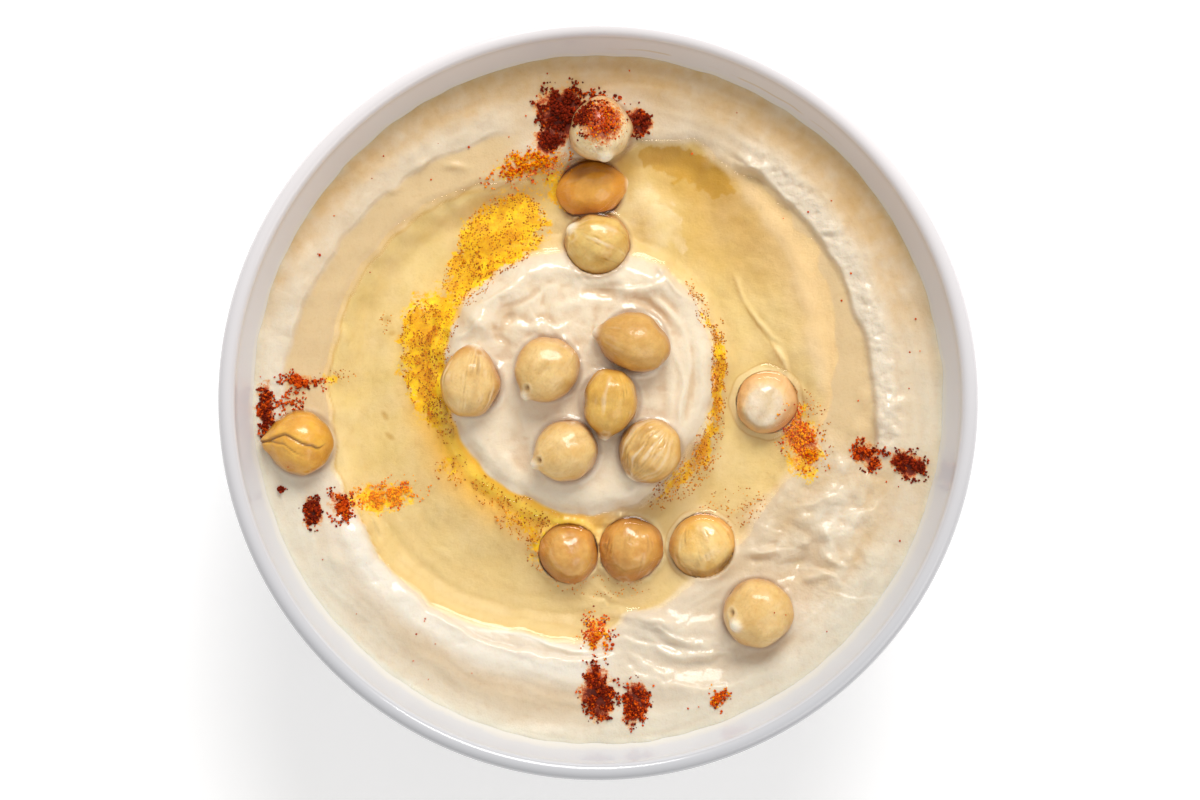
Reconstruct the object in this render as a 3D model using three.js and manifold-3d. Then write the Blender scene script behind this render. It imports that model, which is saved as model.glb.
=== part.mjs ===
// Hummus in a small white bowl: a spoon-swirled dip with a central mound, a moat of olive oil round it,
// chickpeas on and in both, and pinches of paprika. Units are millimetres, +Z is up, and the origin is
// the middle of the bowl's foot, on the table.
import * as THREE from "three";
import { mergeVertices } from "three/addons/utils/BufferGeometryUtils.js";
import Module from "manifold-3d";

const wasm = await Module();
wasm.setup();

// ---------------------------------------------------------------- driving dimensions
const RIM_RADIUS = 70;
const BOWL_HEIGHT = 52;
const LIP_WIDTH = 3.2;
const LIP_OVERHANG = 0.8;
const FLOOR_THICKNESS = 4;
const FOOT_RADIUS = 31;
const FOOT_WIDTH = 2.8;
const FOOT_RECESS = 1.6;
const SEGMENTS = 60; // round the bowl and the dip alike, so that the gap between them is even
const INSIDE_PIECES = 7; // straight pieces of the bowl's inner, outer and lip profile
const OUTSIDE_PIECES = 6;
const LIP_PIECES = 5;

const CLEARANCE = 0.3; // kept between touching pieces
const OIL_LEVEL = 41.4;
const OIL_REACH = 58; // a radius that takes in the whole moat

const HUMMUS_RINGS = 20;
const RING_SPREAD = 0.8; // below 1, the rings lie wider in the middle than at the wall

const PEA_SEGMENTS = 12;
const PEA_ANGLES = [180, 152, 126, 100, 74, 48, 24, 0]; // from a chickpea's back to its beak
const BEAK_LENGTH = 0.2; // of the half length
const BEAK_SPREAD = 21; // degrees
const CLEFT_DEPTH = 0.06; // the shallow furrow down a chickpea's back
const CLEFT_WIDTH = 0.22;

const WHITE_GLAZE = 0xe9e8ea;
const CHICKPEA_TAN = 0xd9ab66;
const HUMMUS_CREAM = 0xe8d2ab;
const OIL_GOLD = 0xdcb14a;

// ---------------------------------------------------------------- small helpers
const degrees = THREE.MathUtils.degToRad;
const ramp = (from, to, x) => THREE.MathUtils.smoothstep(x, from, to);
const bell = (x) => Math.exp(-x * x);

// Least turn from angle b to angle a, in degrees.
const turn = (a, b) => ((a - b + 540) % 360) - 180;

// A smooth closed outline given by radii at even steps of angle.
function closedRadius(radii, angle) {
  const place = (((angle % 360) + 360) % 360) / (360 / radii.length);
  const i = Math.floor(place);
  const [a, b, c, d] = [-1, 0, 1, 2].map((k) => radii[(i + k + radii.length) % radii.length]);
  const t = place - i;
  return b + 0.5 * t * (c - a + t * (2 * a - 5 * b + 4 * c - d + t * (3 * (b - c) + d - a)));
}

// ---------------------------------------------------------------- bowl profile
// The wall's two curves swing out from the floor or the foot, and end steeply under the lip.
const LIP_MIDDLE = RIM_RADIUS - LIP_WIDTH / 2;
const LIP_HEIGHT = BOWL_HEIGHT - LIP_WIDTH / 2;
const FLOOR_HEIGHT = FOOT_RECESS + FLOOR_THICKNESS;

const inside = new THREE.CubicBezierCurve(
  new THREE.Vector2(0, FLOOR_HEIGHT),
  new THREE.Vector2(0.64 * RIM_RADIUS, FLOOR_HEIGHT),
  new THREE.Vector2(0.81 * RIM_RADIUS, 0.5 * BOWL_HEIGHT),
  new THREE.Vector2(RIM_RADIUS - LIP_WIDTH, LIP_HEIGHT),
);
const outside = new THREE.CubicBezierCurve(
  new THREE.Vector2(FOOT_RADIUS + 0.6, FOOT_RECESS + 1.2),
  new THREE.Vector2(0.69 * RIM_RADIUS, FOOT_RECESS + 2),
  new THREE.Vector2(0.865 * RIM_RADIUS, 0.47 * BOWL_HEIGHT),
  new THREE.Vector2(RIM_RADIUS - LIP_OVERHANG, LIP_HEIGHT - LIP_WIDTH / 2),
);
const lip = new THREE.EllipseCurve(
  LIP_MIDDLE, LIP_HEIGHT, LIP_WIDTH / 2, LIP_WIDTH / 2, degrees(-30), degrees(180), false, 0,
);

// A point of the inside wall, moved into the bowl by the clearance.
function innerFace(t) {
  const along = inside.getTangent(t);
  return inside.getPoint(t).add(new THREE.Vector2(-along.y, along.x).multiplyScalar(CLEARANCE));
}

// ---------------------------------------------------------------- the hummus surface
// Heights are counted from the oil's level. The moat's shore is given every 22.5 degrees from +X.
const SHORE = [
  41.4, 44.4, 47.8, 51.0, 45.8, 43.8, 47.9, 50.1, 50.1, 50.1, 49.6, 46.3, 43.6, 38.5, 37.2, 38.4,
];
const MOAT_DEPTH = 3;
const SHORE_INSIDE = 3.2; // how far the bank reaches inwards and outwards from the shore
const SHORE_OUTSIDE = 2.6;
const FIELD_HEIGHT = 1.1; // just outside the shore
const WALL_RISE = 1.3; // from there up to the bowl's wall, between these radii
const WALL_RISE_FROM = 50;
const WALL_RISE_TO = 62;

// The mound's foot is given every 30 degrees round its own middle.
const MOUND = {
  x: -3.0,
  y: 1.6,
  radii: [24.7, 27.1, 27.5, 26.2, 27.6, 28.0, 26.1, 24.6, 23.1, 23.8, 23.5, 23.6],
  height: 2.2,
  slope: 3.6,
  crown: 0.8,
  crownRadius: 15,
};

// Ridges left by the spoon: a steep inner edge whose radius is given at the start, middle and end.
const RIDGES = [
  { from: -16, to: 64, radii: [52.6, 50.7, 52.4], height: 1.9, width: 4.2 },
  { from: 104, to: 190, radii: [51.8, 56.0, 59.6], height: 1.3, width: 3.6 },
  { from: 200, to: 276, radii: [49.8, 49.4, 46.6], height: 1.7, width: 5.0 },
];
const RIDGE_FADE = 9; // degrees over which a ridge dies away
const EDGE_BEFORE = 0.9; // a ridge rises from this far inside its edge radius
const EDGE_AFTER = 1.6; // to this far outside it
const HOLLOW = { from: 214, to: 276, radii: [61.0, 60.8, 59.4], depth: 1.4, width: 3.0 };

// Soft folds of the dip: x, y, half length, half width, heading in degrees and height.
const FOLDS = [
  [-22, 14.5, 3.4, 3.0, 40, 1.3],
  [-17, 19, 7, 2.6, 35, 0.7],
  [-10, 12.5, 5, 2.0, -25, -0.8],
  [-1, 19.5, 6, 2.2, 10, -0.6],
  [4, 22, 6, 2.0, 20, 0.9],
  [11.5, 24, 2.4, 1.8, 60, 1.2],
  [15, 20, 6, 1.6, -50, 0.9],
  [11, 17, 6, 2.2, -50, -0.5],
  [20, 4, 9, 2.0, 95, 0.6],
  [-14, -12, 9, 3.5, 130, -0.6],
  [3, -17, 9, 3, 0, 0.4],
  [10, 34, 6, 4.0, -60, 1.4],
  [-20, 31, 6, 3, 25, 0.8],
  [29, -20, 6, 3, 30, 1.1],
  [42, -19, 6, 3, 35, 1.2],
  [44, -29, 6, 2.6, 70, 1.0],
  [37, -32, 7, 2.4, 35, -0.9],
  [26, -47, 9, 2.6, 20, -1.0],
  [14, -42, 9, 2.4, -8, 1.2],
  [18, -47, 8, 1.8, 5, 0.8],
  [12, -52, 9, 3, 0, 0.9],
  [5, -39, 7, 2.0, 8, -0.6],
  [52, 6, 10, 2.6, 95, 0.7],
  [-57, 22, 6, 3, 60, 0.7],
];

function fold([x0, y0, halfLength, halfWidth, heading, height], x, y) {
  const c = Math.cos(degrees(heading));
  const s = Math.sin(degrees(heading));
  const along = ((x - x0) * c + (y - y0) * s) / halfLength;
  const across = ((y - y0) * c - (x - x0) * s) / halfWidth;
  return height * bell(along) * bell(across);
}

// How strongly a stroke of the spoon shows at an angle, and the radius of its edge there.
function stroke({ from, to, radii: [start, middle, end] }, angle) {
  const half = (to - from) / 2;
  const s = turn(angle, from + half) / half;
  const fade = RIDGE_FADE / half;
  return {
    strength: 1 - ramp(1 - fade, 1, Math.abs(s)),
    radius: middle + ((end - start) / 2) * s + ((end + start) / 2 - middle) * s * s,
  };
}

function ridge(shape, r, angle) {
  const { strength, radius } = stroke(shape, angle);
  const u = r - radius;
  const back = bell(Math.max(0, u - EDGE_AFTER) / shape.width);
  return shape.height * strength * ramp(-EDGE_BEFORE, EDGE_AFTER, u) * back;
}

function hollow(shape, r, angle) {
  const { strength, radius } = stroke(shape, angle);
  return -shape.depth * strength * bell((r - radius) / shape.width);
}

// Small unevenness from a few crossed waves.
function ripple(x, y) {
  return 0.16 * Math.sin(0.31 * x + 1.7 * Math.sin(0.13 * y)) * Math.sin(0.27 * y + 0.6) +
    0.1 * Math.sin(0.53 * x - 0.37 * y) * Math.sin(0.41 * x + 0.49 * y + 2);
}

function mound(x, y) {
  const { x: mx, y: my, radii, height, slope, crown, crownRadius } = MOUND;
  const away = Math.hypot(x - mx, y - my);
  const edge = closedRadius(radii, THREE.MathUtils.radToDeg(Math.atan2(y - my, x - mx)));
  const body = 1 - ramp(edge - slope, edge + slope, away);
  return body * (MOAT_DEPTH + height + crown * bell(away / crownRadius));
}

// The surface of the dip above the point x, y.
function hummusHeight(x, y) {
  const r = Math.hypot(x, y);
  const angle = THREE.MathUtils.radToDeg(Math.atan2(y, x));
  const u = r - closedRadius(SHORE, angle);
  const bank = ramp(-SHORE_INSIDE, SHORE_OUTSIDE, u);
  const field = FIELD_HEIGHT + WALL_RISE * ramp(WALL_RISE_FROM, WALL_RISE_TO, r);
  let z = OIL_LEVEL - MOAT_DEPTH + bank * (MOAT_DEPTH + field) + mound(x, y) + ripple(x, y);
  for (const shape of RIDGES) z += ridge(shape, r, angle);
  for (const shape of FOLDS) z += fold(shape, x, y);
  return z + hollow(HOLLOW, r, angle);
}

// ---------------------------------------------------------------- chickpeas
// Plan place, how far the middle lies above the dip's surface, the way the beak points, its pitch and
// roll in degrees, and the body's length, width and height.
const CHICKPEAS = [
  { x: 0.4, y: 50.2, lift: 3.4, heading: -80, pitch: 25, roll: 10, size: [11.8, 11.6, 11.0] },
  { x: -1.5, y: 39.6, lift: -1.0, heading: 10, pitch: 0, roll: 0, size: [12.6, 11.0, 9.8] },
  { x: -0.2, y: 29.0, lift: 1.4, heading: 150, pitch: 15, roll: -20, size: [11.6, 11.6, 11.0] },
  { x: -23.8, y: 3.0, lift: 2.2, heading: 78, pitch: -5, roll: 15, size: [12.4, 10.8, 10.4] },
  { x: -9.3, y: 6.0, lift: 2.4, heading: 228, pitch: 12, roll: 0, size: [12.0, 11.4, 10.8] },
  { x: 6.8, y: 10.8, lift: 2.4, heading: 166, pitch: 0, roll: 10, size: [13.2, 11.0, 10.6] },
  { x: 2.2, y: -0.2, lift: 3.3, heading: 260, pitch: -8, roll: -15, size: [12.2, 9.8, 10.2] },
  { x: -5.8, y: -9.4, lift: 2.2, heading: 204, pitch: 8, roll: 0, size: [12.2, 11.2, 10.6] },
  { x: 9.6, y: -9.6, lift: 2.2, heading: 232, pitch: -10, roll: 25, size: [12.0, 11.4, 10.6] },
  { x: -55.2, y: -8.0, lift: 1.8, heading: 178, pitch: 10, roll: 0, size: [11.6, 11.8, 11.0] },
  { x: 31.6, y: -0.4, lift: 0.4, heading: 60, pitch: -20, roll: 0, size: [11.6, 10.8, 10.2] },
  { x: -5.6, y: -28.4, lift: 0.6, heading: 110, pitch: -25, roll: 0, size: [11.2, 10.4, 10.2] },
  { x: 6.0, y: -27.8, lift: 0.6, heading: 262, pitch: -10, roll: 0, size: [11.2, 11.2, 10.4] },
  { x: 19.6, y: -27.4, lift: 0.8, heading: 285, pitch: -15, roll: 0, size: [11.8, 11.6, 10.6] },
  { x: 29.6, y: -39.6, lift: 2.4, heading: 190, pitch: 12, roll: 20, size: [13.0, 12.8, 11.4] },
];

// A chickpea with its beak towards +X, grown all round by the allowance.
function chickpeaGeometry(size, allowance = 0) {
  const profile = PEA_ANGLES.map((angle) => {
    const beak = 1 + BEAK_LENGTH * bell(angle / BEAK_SPREAD);
    return new THREE.Vector2(Math.sin(degrees(angle)), Math.cos(degrees(angle))).multiplyScalar(beak);
  });
  profile[0].x = 0;
  const half = new THREE.Vector3(...size).addScalar(2 * allowance).multiplyScalar(0.5);
  const geometry = revolve(profile, PEA_SEGMENTS).rotateY(Math.PI / 2);
  const place = geometry.attributes.position;
  const p = new THREE.Vector3();
  for (let i = 0; i < place.count; i++) {
    p.fromBufferAttribute(place, i);
    const cleft = CLEFT_DEPTH * bell(p.y / CLEFT_WIDTH) * ramp(0.1, 0.7, -p.x);
    p.multiplyScalar(1 - cleft).multiply(half);
    place.setXYZ(i, p.x, p.y, p.z);
  }
  return geometry;
}

// ---------------------------------------------------------------- paprika
// Pinches of coarse powder: x, y, half length, half width, heading in degrees and number of clumps.
const PAPRIKA = [
  [-7.6, 56.0, 4.4, 2.6, -20, 11],
  [-10.0, 51.0, 2.4, 2.0, 20, 4],
  [8.2, 53.0, 1.8, 2.4, 20, 4],
  [-55.6, 3.8, 2.6, 1.2, 0, 4],
  [-61.2, -1.2, 4.0, 0.9, 97, 6],
  [-52.4, -20.6, 2.4, 1.2, 105, 4],
  [-47.8, -20.4, 3.0, 1.8, 100, 5],
  [50.4, -10.4, 3.0, 1.8, -50, 6],
  [57.2, -11.8, 3.0, 1.8, -20, 6],
  [0.4, -55.0, 4.8, 2.4, -75, 10],
  [6.8, -56.8, 3.8, 2.0, -70, 6],
  [22.6, -55.6, 1.6, 1.2, 0, 2],
];
const CLUMP = { smallest: 0.8, largest: 1.2, flatness: 0.75 };
const GOLDEN_ANGLE = 2.4; // radians

const random = seededRandom(7);

function seededRandom(seed) {
  let state = seed;
  return () => {
    state = (state * 16807) % 2147483647;
    return state / 2147483647;
  };
}

// Whether a clump at x, y keeps off the oil and the chickpeas.
function isClear(x, y, radius) {
  const dry = hummusHeight(x, y) - radius > OIL_LEVEL;
  return dry && CHICKPEAS.every((pea) => Math.hypot(x - pea.x, y - pea.y) > pea.size[0] / 2 + radius);
}

// The clumps of one pinch, spread over its oval by the golden angle.
function clumps([x, y, halfLength, halfWidth, heading, count]) {
  const made = [];
  for (let i = 0; i < count; i++) {
    const away = Math.sqrt((i + 0.5) / count);
    const around = GOLDEN_ANGLE * i + random();
    const along = halfLength * away * Math.cos(around);
    const across = halfWidth * away * Math.sin(around);
    const c = Math.cos(degrees(heading));
    const s = Math.sin(degrees(heading));
    const px = x + along * c - across * s;
    const py = y + along * s + across * c;
    const radius = THREE.MathUtils.lerp(CLUMP.smallest, CLUMP.largest, random());
    const clump = new THREE.OctahedronGeometry(radius, 0)
      .rotateX(Math.PI * random())
      .rotateZ(Math.PI * random())
      .scale(1, 1, CLUMP.flatness)
      .translate(px, py, hummusHeight(px, py));
    if (isClear(px, py, radius)) made.push(clump);
  }
  return made;
}

// ---------------------------------------------------------------- solids
function toSolid(source) {
  const bare = source.clone();
  bare.deleteAttribute("normal");
  bare.deleteAttribute("uv");
  const merged = mergeVertices(bare, 1e-4);
  return new wasm.Manifold(new wasm.Mesh({
    numProp: 3,
    vertProperties: merged.attributes.position.array,
    triVerts: new Uint32Array(merged.index.array),
  }));
}

function toGeometry(solid) {
  const mesh = solid.getMesh();
  const geometry = new THREE.BufferGeometry();
  geometry.setAttribute("position", new THREE.BufferAttribute(mesh.vertProperties, 3));
  geometry.setIndex(new THREE.BufferAttribute(mesh.triVerts, 1));
  geometry.computeVertexNormals();
  return geometry;
}

const largest = (solid) => solid.decompose().reduce((a, b) => (a.volume() > b.volume() ? a : b));

// A solid of revolution about Z, from a profile that runs anticlockwise from the axis to the axis.
function revolve(profile, segments) {
  return new THREE.LatheGeometry(profile, segments).rotateX(Math.PI / 2);
}

function bowlGeometry() {
  const footInside = FOOT_RADIUS - FOOT_WIDTH;
  return revolve([
    new THREE.Vector2(0, FOOT_RECESS),
    new THREE.Vector2(footInside - 0.8, FOOT_RECESS),
    new THREE.Vector2(footInside, 0),
    new THREE.Vector2(FOOT_RADIUS, 0),
    ...outside.getPoints(OUTSIDE_PIECES),
    ...lip.getPoints(LIP_PIECES),
    ...inside.getPoints(INSIDE_PIECES).reverse().slice(1),
  ], SEGMENTS);
}

// The dip from under its middle out and up along the wall, then over the top to the middle again. Its
// side meets the wall at every second point of the bowl's profile.
function hummusGeometry(raise = 0) {
  const wall = [];
  for (let k = 0; k < INSIDE_PIECES; k += 2) wall.push(innerFace(k / INSIDE_PIECES));
  wall[0].x = 0;
  const rows = wall.length + HUMMUS_RINGS;
  const onAxis = (k) => k === 0 || k === rows;
  const blank = Array.from({ length: rows + 1 }, (_, k) => new THREE.Vector2(onAxis(k) ? 0 : 1, k));
  const geometry = revolve(blank, SEGMENTS);
  const place = geometry.attributes.position;
  for (let i = 0; i <= SEGMENTS; i++) {
    const angle = ((i % SEGMENTS) / SEGMENTS) * 2 * Math.PI;
    const c = Math.cos(angle);
    const s = Math.sin(angle);
    const edge = wallContact(c, s, raise);
    for (let k = 0; k <= rows; k++) {
      const r = k < wall.length ? wall[k].x : edge * ((rows - k) / HUMMUS_RINGS) ** RING_SPREAD;
      const z = k < wall.length ? wall[k].y : hummusHeight(r * c, r * s) + raise;
      place.setXYZ(i * (rows + 1) + k, r * c, r * s, z);
    }
  }
  return geometry;
}

// The radius at which the dip's surface meets the inside wall, in one direction.
function wallContact(c, s, raise) {
  let low = 0.5;
  let high = 1;
  for (let step = 0; step < 30; step++) {
    const t = (low + high) / 2;
    const p = innerFace(t);
    if (p.y > hummusHeight(p.x * c, p.x * s) + raise) high = t;
    else low = t;
  }
  return innerFace(low).x;
}

// ---------------------------------------------------------------- the model
const part = new THREE.Group();

function add(name, geometry, color, roughness) {
  const mesh = new THREE.Mesh(
    geometry,
    new THREE.MeshStandardMaterial({ color, roughness, metalness: 0 }),
  );
  mesh.name = name;
  part.add(mesh);
  return mesh;
}

add("bowl", bowlGeometry(), WHITE_GLAZE, 0.18);

const sockets = [];
CHICKPEAS.forEach(({ x, y, lift, heading, pitch, roll, size }, i) => {
  const mesh = add(`chickpea_${String(i + 1).padStart(2, "0")}`, chickpeaGeometry(size), CHICKPEA_TAN, 0.4);
  mesh.position.set(x, y, hummusHeight(x, y) + lift);
  mesh.rotation.set(degrees(roll), degrees(-pitch), degrees(heading), "ZYX");
  mesh.updateMatrixWorld(true);
  sockets.push(toSolid(chickpeaGeometry(size, CLEARANCE).applyMatrix4(mesh.matrixWorld)));
});

let dip = toSolid(hummusGeometry());
for (const clump of PAPRIKA.flatMap(clumps)) dip = dip.add(toSolid(clump));
for (const socket of sockets) dip = dip.subtract(socket);
add("hummus", toGeometry(largest(dip)), HUMMUS_CREAM, 0.5);

const slab = new THREE.CylinderGeometry(OIL_REACH, OIL_REACH, 2 * MOAT_DEPTH, SEGMENTS)
  .rotateX(Math.PI / 2)
  .translate(0, 0, OIL_LEVEL - MOAT_DEPTH);
let oil = toSolid(slab).subtract(toSolid(hummusGeometry(CLEARANCE)));
for (const socket of sockets) oil = oil.subtract(socket);
add("olive_oil", toGeometry(largest(oil)), OIL_GOLD, 0.08);

export default part;
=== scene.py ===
"""Hummus in a white bowl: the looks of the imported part.

Shapes are worked out in millimetres, in the part's own frame, and scaled to metres when a mesh is made.
"""
import math
from collections import namedtuple
from itertools import product

import bpy
import numpy as np
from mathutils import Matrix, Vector


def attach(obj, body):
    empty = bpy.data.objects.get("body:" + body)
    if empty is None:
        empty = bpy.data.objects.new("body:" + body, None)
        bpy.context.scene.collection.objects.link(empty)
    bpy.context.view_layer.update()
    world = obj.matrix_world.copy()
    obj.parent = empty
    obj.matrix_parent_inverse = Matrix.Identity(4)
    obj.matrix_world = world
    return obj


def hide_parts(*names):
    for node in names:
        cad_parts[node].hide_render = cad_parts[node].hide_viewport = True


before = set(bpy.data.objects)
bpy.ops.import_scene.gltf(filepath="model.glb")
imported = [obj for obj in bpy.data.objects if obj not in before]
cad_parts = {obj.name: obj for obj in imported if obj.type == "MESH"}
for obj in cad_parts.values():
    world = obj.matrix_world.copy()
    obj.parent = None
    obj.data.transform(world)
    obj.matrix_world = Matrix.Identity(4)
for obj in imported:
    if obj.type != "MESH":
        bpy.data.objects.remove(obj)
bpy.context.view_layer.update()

MM = 0.001
BODY = "root"

# The picture: its size, the point of it that lies over the bowl's axis, and its scale at the rim.
PICTURE = (1200, 800)
AXIS_AT = (598.2, 400.1)
PIXELS_PER_MM = 5.43

# ---- sizes, in millimetres
RIM_RADIUS = 70.0
BOWL_HEIGHT = 52.0
LIP_WIDTH = 3.2
LIP_OVERHANG = 0.8
FLOOR_THICKNESS = 4.0
FOOT_RADIUS = 31.0
FOOT_WIDTH = 2.8
FOOT_RECESS = 1.6
OIL_LEVEL = 41.4

# The dip's surface, as the solid has it. The radii of the oil's shore and of the mound are given at even
# steps of angle.
SHORE = [41.4, 44.4, 47.8, 51.0, 45.8, 43.8, 47.9, 50.1, 50.1, 50.1, 49.6, 46.3, 43.6, 38.5, 37.2, 38.4]
MOAT_DEPTH = 3.0
SHORE_INSIDE = 3.2
SHORE_OUTSIDE = 2.6
FIELD_HEIGHT = 1.1
WALL_RISE = 1.3
WALL_RISE_FROM = 50.0
WALL_RISE_TO = 62.0
MOUND_AT = (-3.0, 1.6)
MOUND_RADII = [24.7, 27.1, 27.5, 26.2, 27.6, 28.0, 26.1, 24.6, 23.1, 23.8, 23.5, 23.6]
MOUND_HEIGHT = 2.2
MOUND_SLOPE = 3.6
CROWN = 0.8
CROWN_RADIUS = 15.0
# Ridges left by the spoon: angles from and to, edge radius at start, middle and end, height, width, and
# the share of the height that its crisp edge has.
RIDGES = [
    (-16, 64, (52.6, 50.7, 52.4), 1.9, 4.2, 0.50),
    (104, 190, (51.8, 56.0, 59.6), 1.3, 3.6, 0.30),
    (200, 276, (49.8, 49.4, 46.6), 1.7, 5.0, 0.70),
]
RIDGE_FADE = 9.0
EDGE_BEFORE = 0.9
EDGE_AFTER = 1.6
# The same edges as they show: how they rise, how wide their tops are, and how far their backs run out.
CRISP_EDGE = (-0.2, 0.7)
CRISP_TOP = 3.4
CRISP_BACK = 0.8
CRISP_HOLLOW = 0.6
CRISP_SHORE = 5.0
WIDE_SHORE = 8.5
# The hollow outside the lower left ridge: angles, radii, depth and width.
HOLLOW = (214, 276, (61.0, 60.8, 59.4), 1.4, 3.0)
# Soft folds: place, half length, half width, heading in degrees, bend per millimetre, height.
FOLDS = [
    ((-22, 14.5), 3.4, 3.0, 40, 0, 1.3), ((-17, 19), 7, 2.6, 35, 0, 0.7),
    ((-10, 12.5), 5, 2.0, -25, 0, -0.8), ((-1, 19.5), 6, 2.2, 10, 0, -0.6), ((4, 22), 6, 2.0, 20, 0, 0.9),
    ((11.5, 24), 2.4, 1.8, 60, 0, 1.2), ((15, 20), 6, 1.6, -50, 0, 0.9), ((11, 17), 6, 2.2, -50, 0, -0.5),
    ((20, 4), 9, 2.0, 95, 0, 0.6), ((-14, -12), 9, 3.5, 130, 0, -0.6), ((3, -17), 9, 3, 0, 0, 0.4),
    ((10, 34), 6, 4.0, -60, 0, 1.4), ((-20, 31), 6, 3, 25, 0, 0.8), ((29, -20), 6, 3, 30, 0, 1.1),
    ((42, -19), 6, 3, 35, 0, 1.2), ((44, -29), 6, 2.6, 70, 0, 1.0), ((37, -32), 7, 2.4, 35, 0, -0.9),
    ((26, -47), 9, 2.6, 20, 0, -1.0), ((14, -42), 9, 2.4, -8, 0, 1.2), ((18, -47), 8, 1.8, 5, 0, 0.8),
    ((12, -52), 9, 3, 0, 0, 0.9), ((5, -39), 7, 2.0, 8, 0, -0.6), ((52, 6), 10, 2.6, 95, 0, 0.7),
    ((-57, 22), 6, 3, 60, 0, 0.7),
]


def px(u, v):
    """The plan place, in millimetres, of a point of the picture in its own pixels."""
    return (u - AXIS_AT[0]) / PIXELS_PER_MM, (AXIS_AT[1] - v) / PIXELS_PER_MM


def placed(*rows):
    """Rows of a table that start with a point of the picture, with that point made a plan place."""
    return [(px(u, v), *rest) for u, v, *rest in rows]


# Marks too fine for the solid: place, half length, half width, heading, bend per millimetre, height.
MARKS = placed(
    # the mound's lump, dimple, folds, peak and the thin ridge running down from it
    (476, 320, 2.3, 2.0, 0, 0, 0.7), (497, 333, 3.0, 0.8, -50, 0.05, -0.5),
    (510, 317, 1.1, 0.9, 0, 0, -0.8), (512, 287, 4.6, 1.0, 35, 0.02, 0.6),
    (523, 300, 4.0, 0.7, 30, 0.03, -0.4), (463, 352, 2.6, 0.9, 75, 0, 0.4),
    (541, 328, 2.6, 1.1, -22, -0.08, 0.8), (566, 338, 2.8, 0.7, -45, -0.06, 0.5),
    (603, 290, 3.4, 1.1, 6, 0.05, -1.0), (575, 303, 4.6, 1.2, 14, 0, 0.4),
    (638, 289, 5.2, 2.1, 16, -0.03, 0.7), (652, 307, 6.4, 1.0, -30, -0.03, -0.6),
    (672, 312, 5.0, 0.9, -40, -0.03, 0.4), (661, 267, 1.0, 0.7, -30, 0, 1.1),
    (674, 285, 4.2, 0.5, -46, 0.02, 0.7), (683, 402, 8.6, 0.6, 92, 0.012, 0.5),
    (672, 395, 5.0, 1.0, 96, 0.01, 0.3), (505, 462, 3.4, 0.9, -46, 0, 0.4),
    (560, 490, 5.0, 1.2, -18, 0.02, 0.3),
    # upper left: a bump and a notch at the oil's edge, and lumps on the crest
    (454, 165, 1.9, 0.8, -6, 0, 0.6), (466, 189, 4.2, 0.8, 24, -0.04, -0.4),
    (420, 163, 1.4, 0.8, 25, 0, 0.5), (393, 187, 1.6, 0.7, 40, 0, 0.5), (303, 289, 3.0, 1.7, 62, 0, 0.6),
    (291, 325, 2.6, 1.2, 80, 0, 0.4),
    # upper right: the line where the oil thins out, and the torn start of the ridge
    (744, 290, 3.0, 0.6, -66, 0, 0.4), (763, 322, 3.4, 0.6, -52, 0.05, 0.45),
    (786, 358, 3.6, 0.6, -64, -0.05, 0.45), (803, 388, 2.4, 0.6, -48, 0, 0.4),
    (746, 158, 1.8, 1.2, -15, 0, 0.8), (765, 170, 2.2, 1.1, -20, 0, 0.6),
    # lower left: the notch where the shore turns, and the spoon's last lines
    (371, 532, 1.6, 0.6, -60, 0, -0.8), (330, 562, 3.0, 1.6, -40, 0, 0.5),
    (540, 644, 8.5, 0.45, -15, 0.004, 0.5),
    # lower right: a round blob, curls, pits, and tongues of dip
    (830, 535, 1.7, 1.4, 20, 0, 1.1), (810, 546, 1.2, 1.0, 0, 0, 0.5), (852, 556, 1.3, 1.0, 30, 0, 0.5),
    (846, 470, 1.9, 1.5, 40, 0, 0.6), (872, 484, 1.6, 1.2, 10, 0, 0.6), (806, 520, 1.5, 1.1, 20, 0, 0.5),
    (862, 430, 1.8, 1.3, 60, 0, 0.6), (838, 564, 2.4, 0.7, -28, 0.12, 0.6),
    (812, 579, 3.0, 0.8, 22, -0.07, 0.6), (798, 565, 2.6, 0.9, 10, 0, -0.6),
    (770, 553, 3.6, 0.9, 14, 0.06, 0.6), (776, 545, 1.0, 0.8, 0, 0, -0.6), (760, 562, 1.2, 0.8, 0, 0, -0.6),
    (858, 520, 3.6, 1.1, 48, 0, 0.5), (820, 500, 3.8, 1.0, 30, 0.05, 0.5), (884, 418, 2.4, 1.3, 60, 0, 0.8),
    (902, 404, 1.8, 1.1, 20, 0, 0.6), (868, 398, 1.8, 1.2, 80, 0, 0.6), (640, 623, 8.6, 1.1, -8, 0.01, 0.6),
    (652, 634, 6.6, 0.7, -9, 0.01, -0.3), (690, 643, 7.0, 1.1, -16, 0.02, 0.6),
    (668, 655, 5.4, 0.9, -24, 0.03, 0.5), (705, 662, 5.2, 0.8, 8, 0.05, 0.5),
    (698, 676, 9.4, 1.7, 2, 0.03, -0.5),
)

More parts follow.
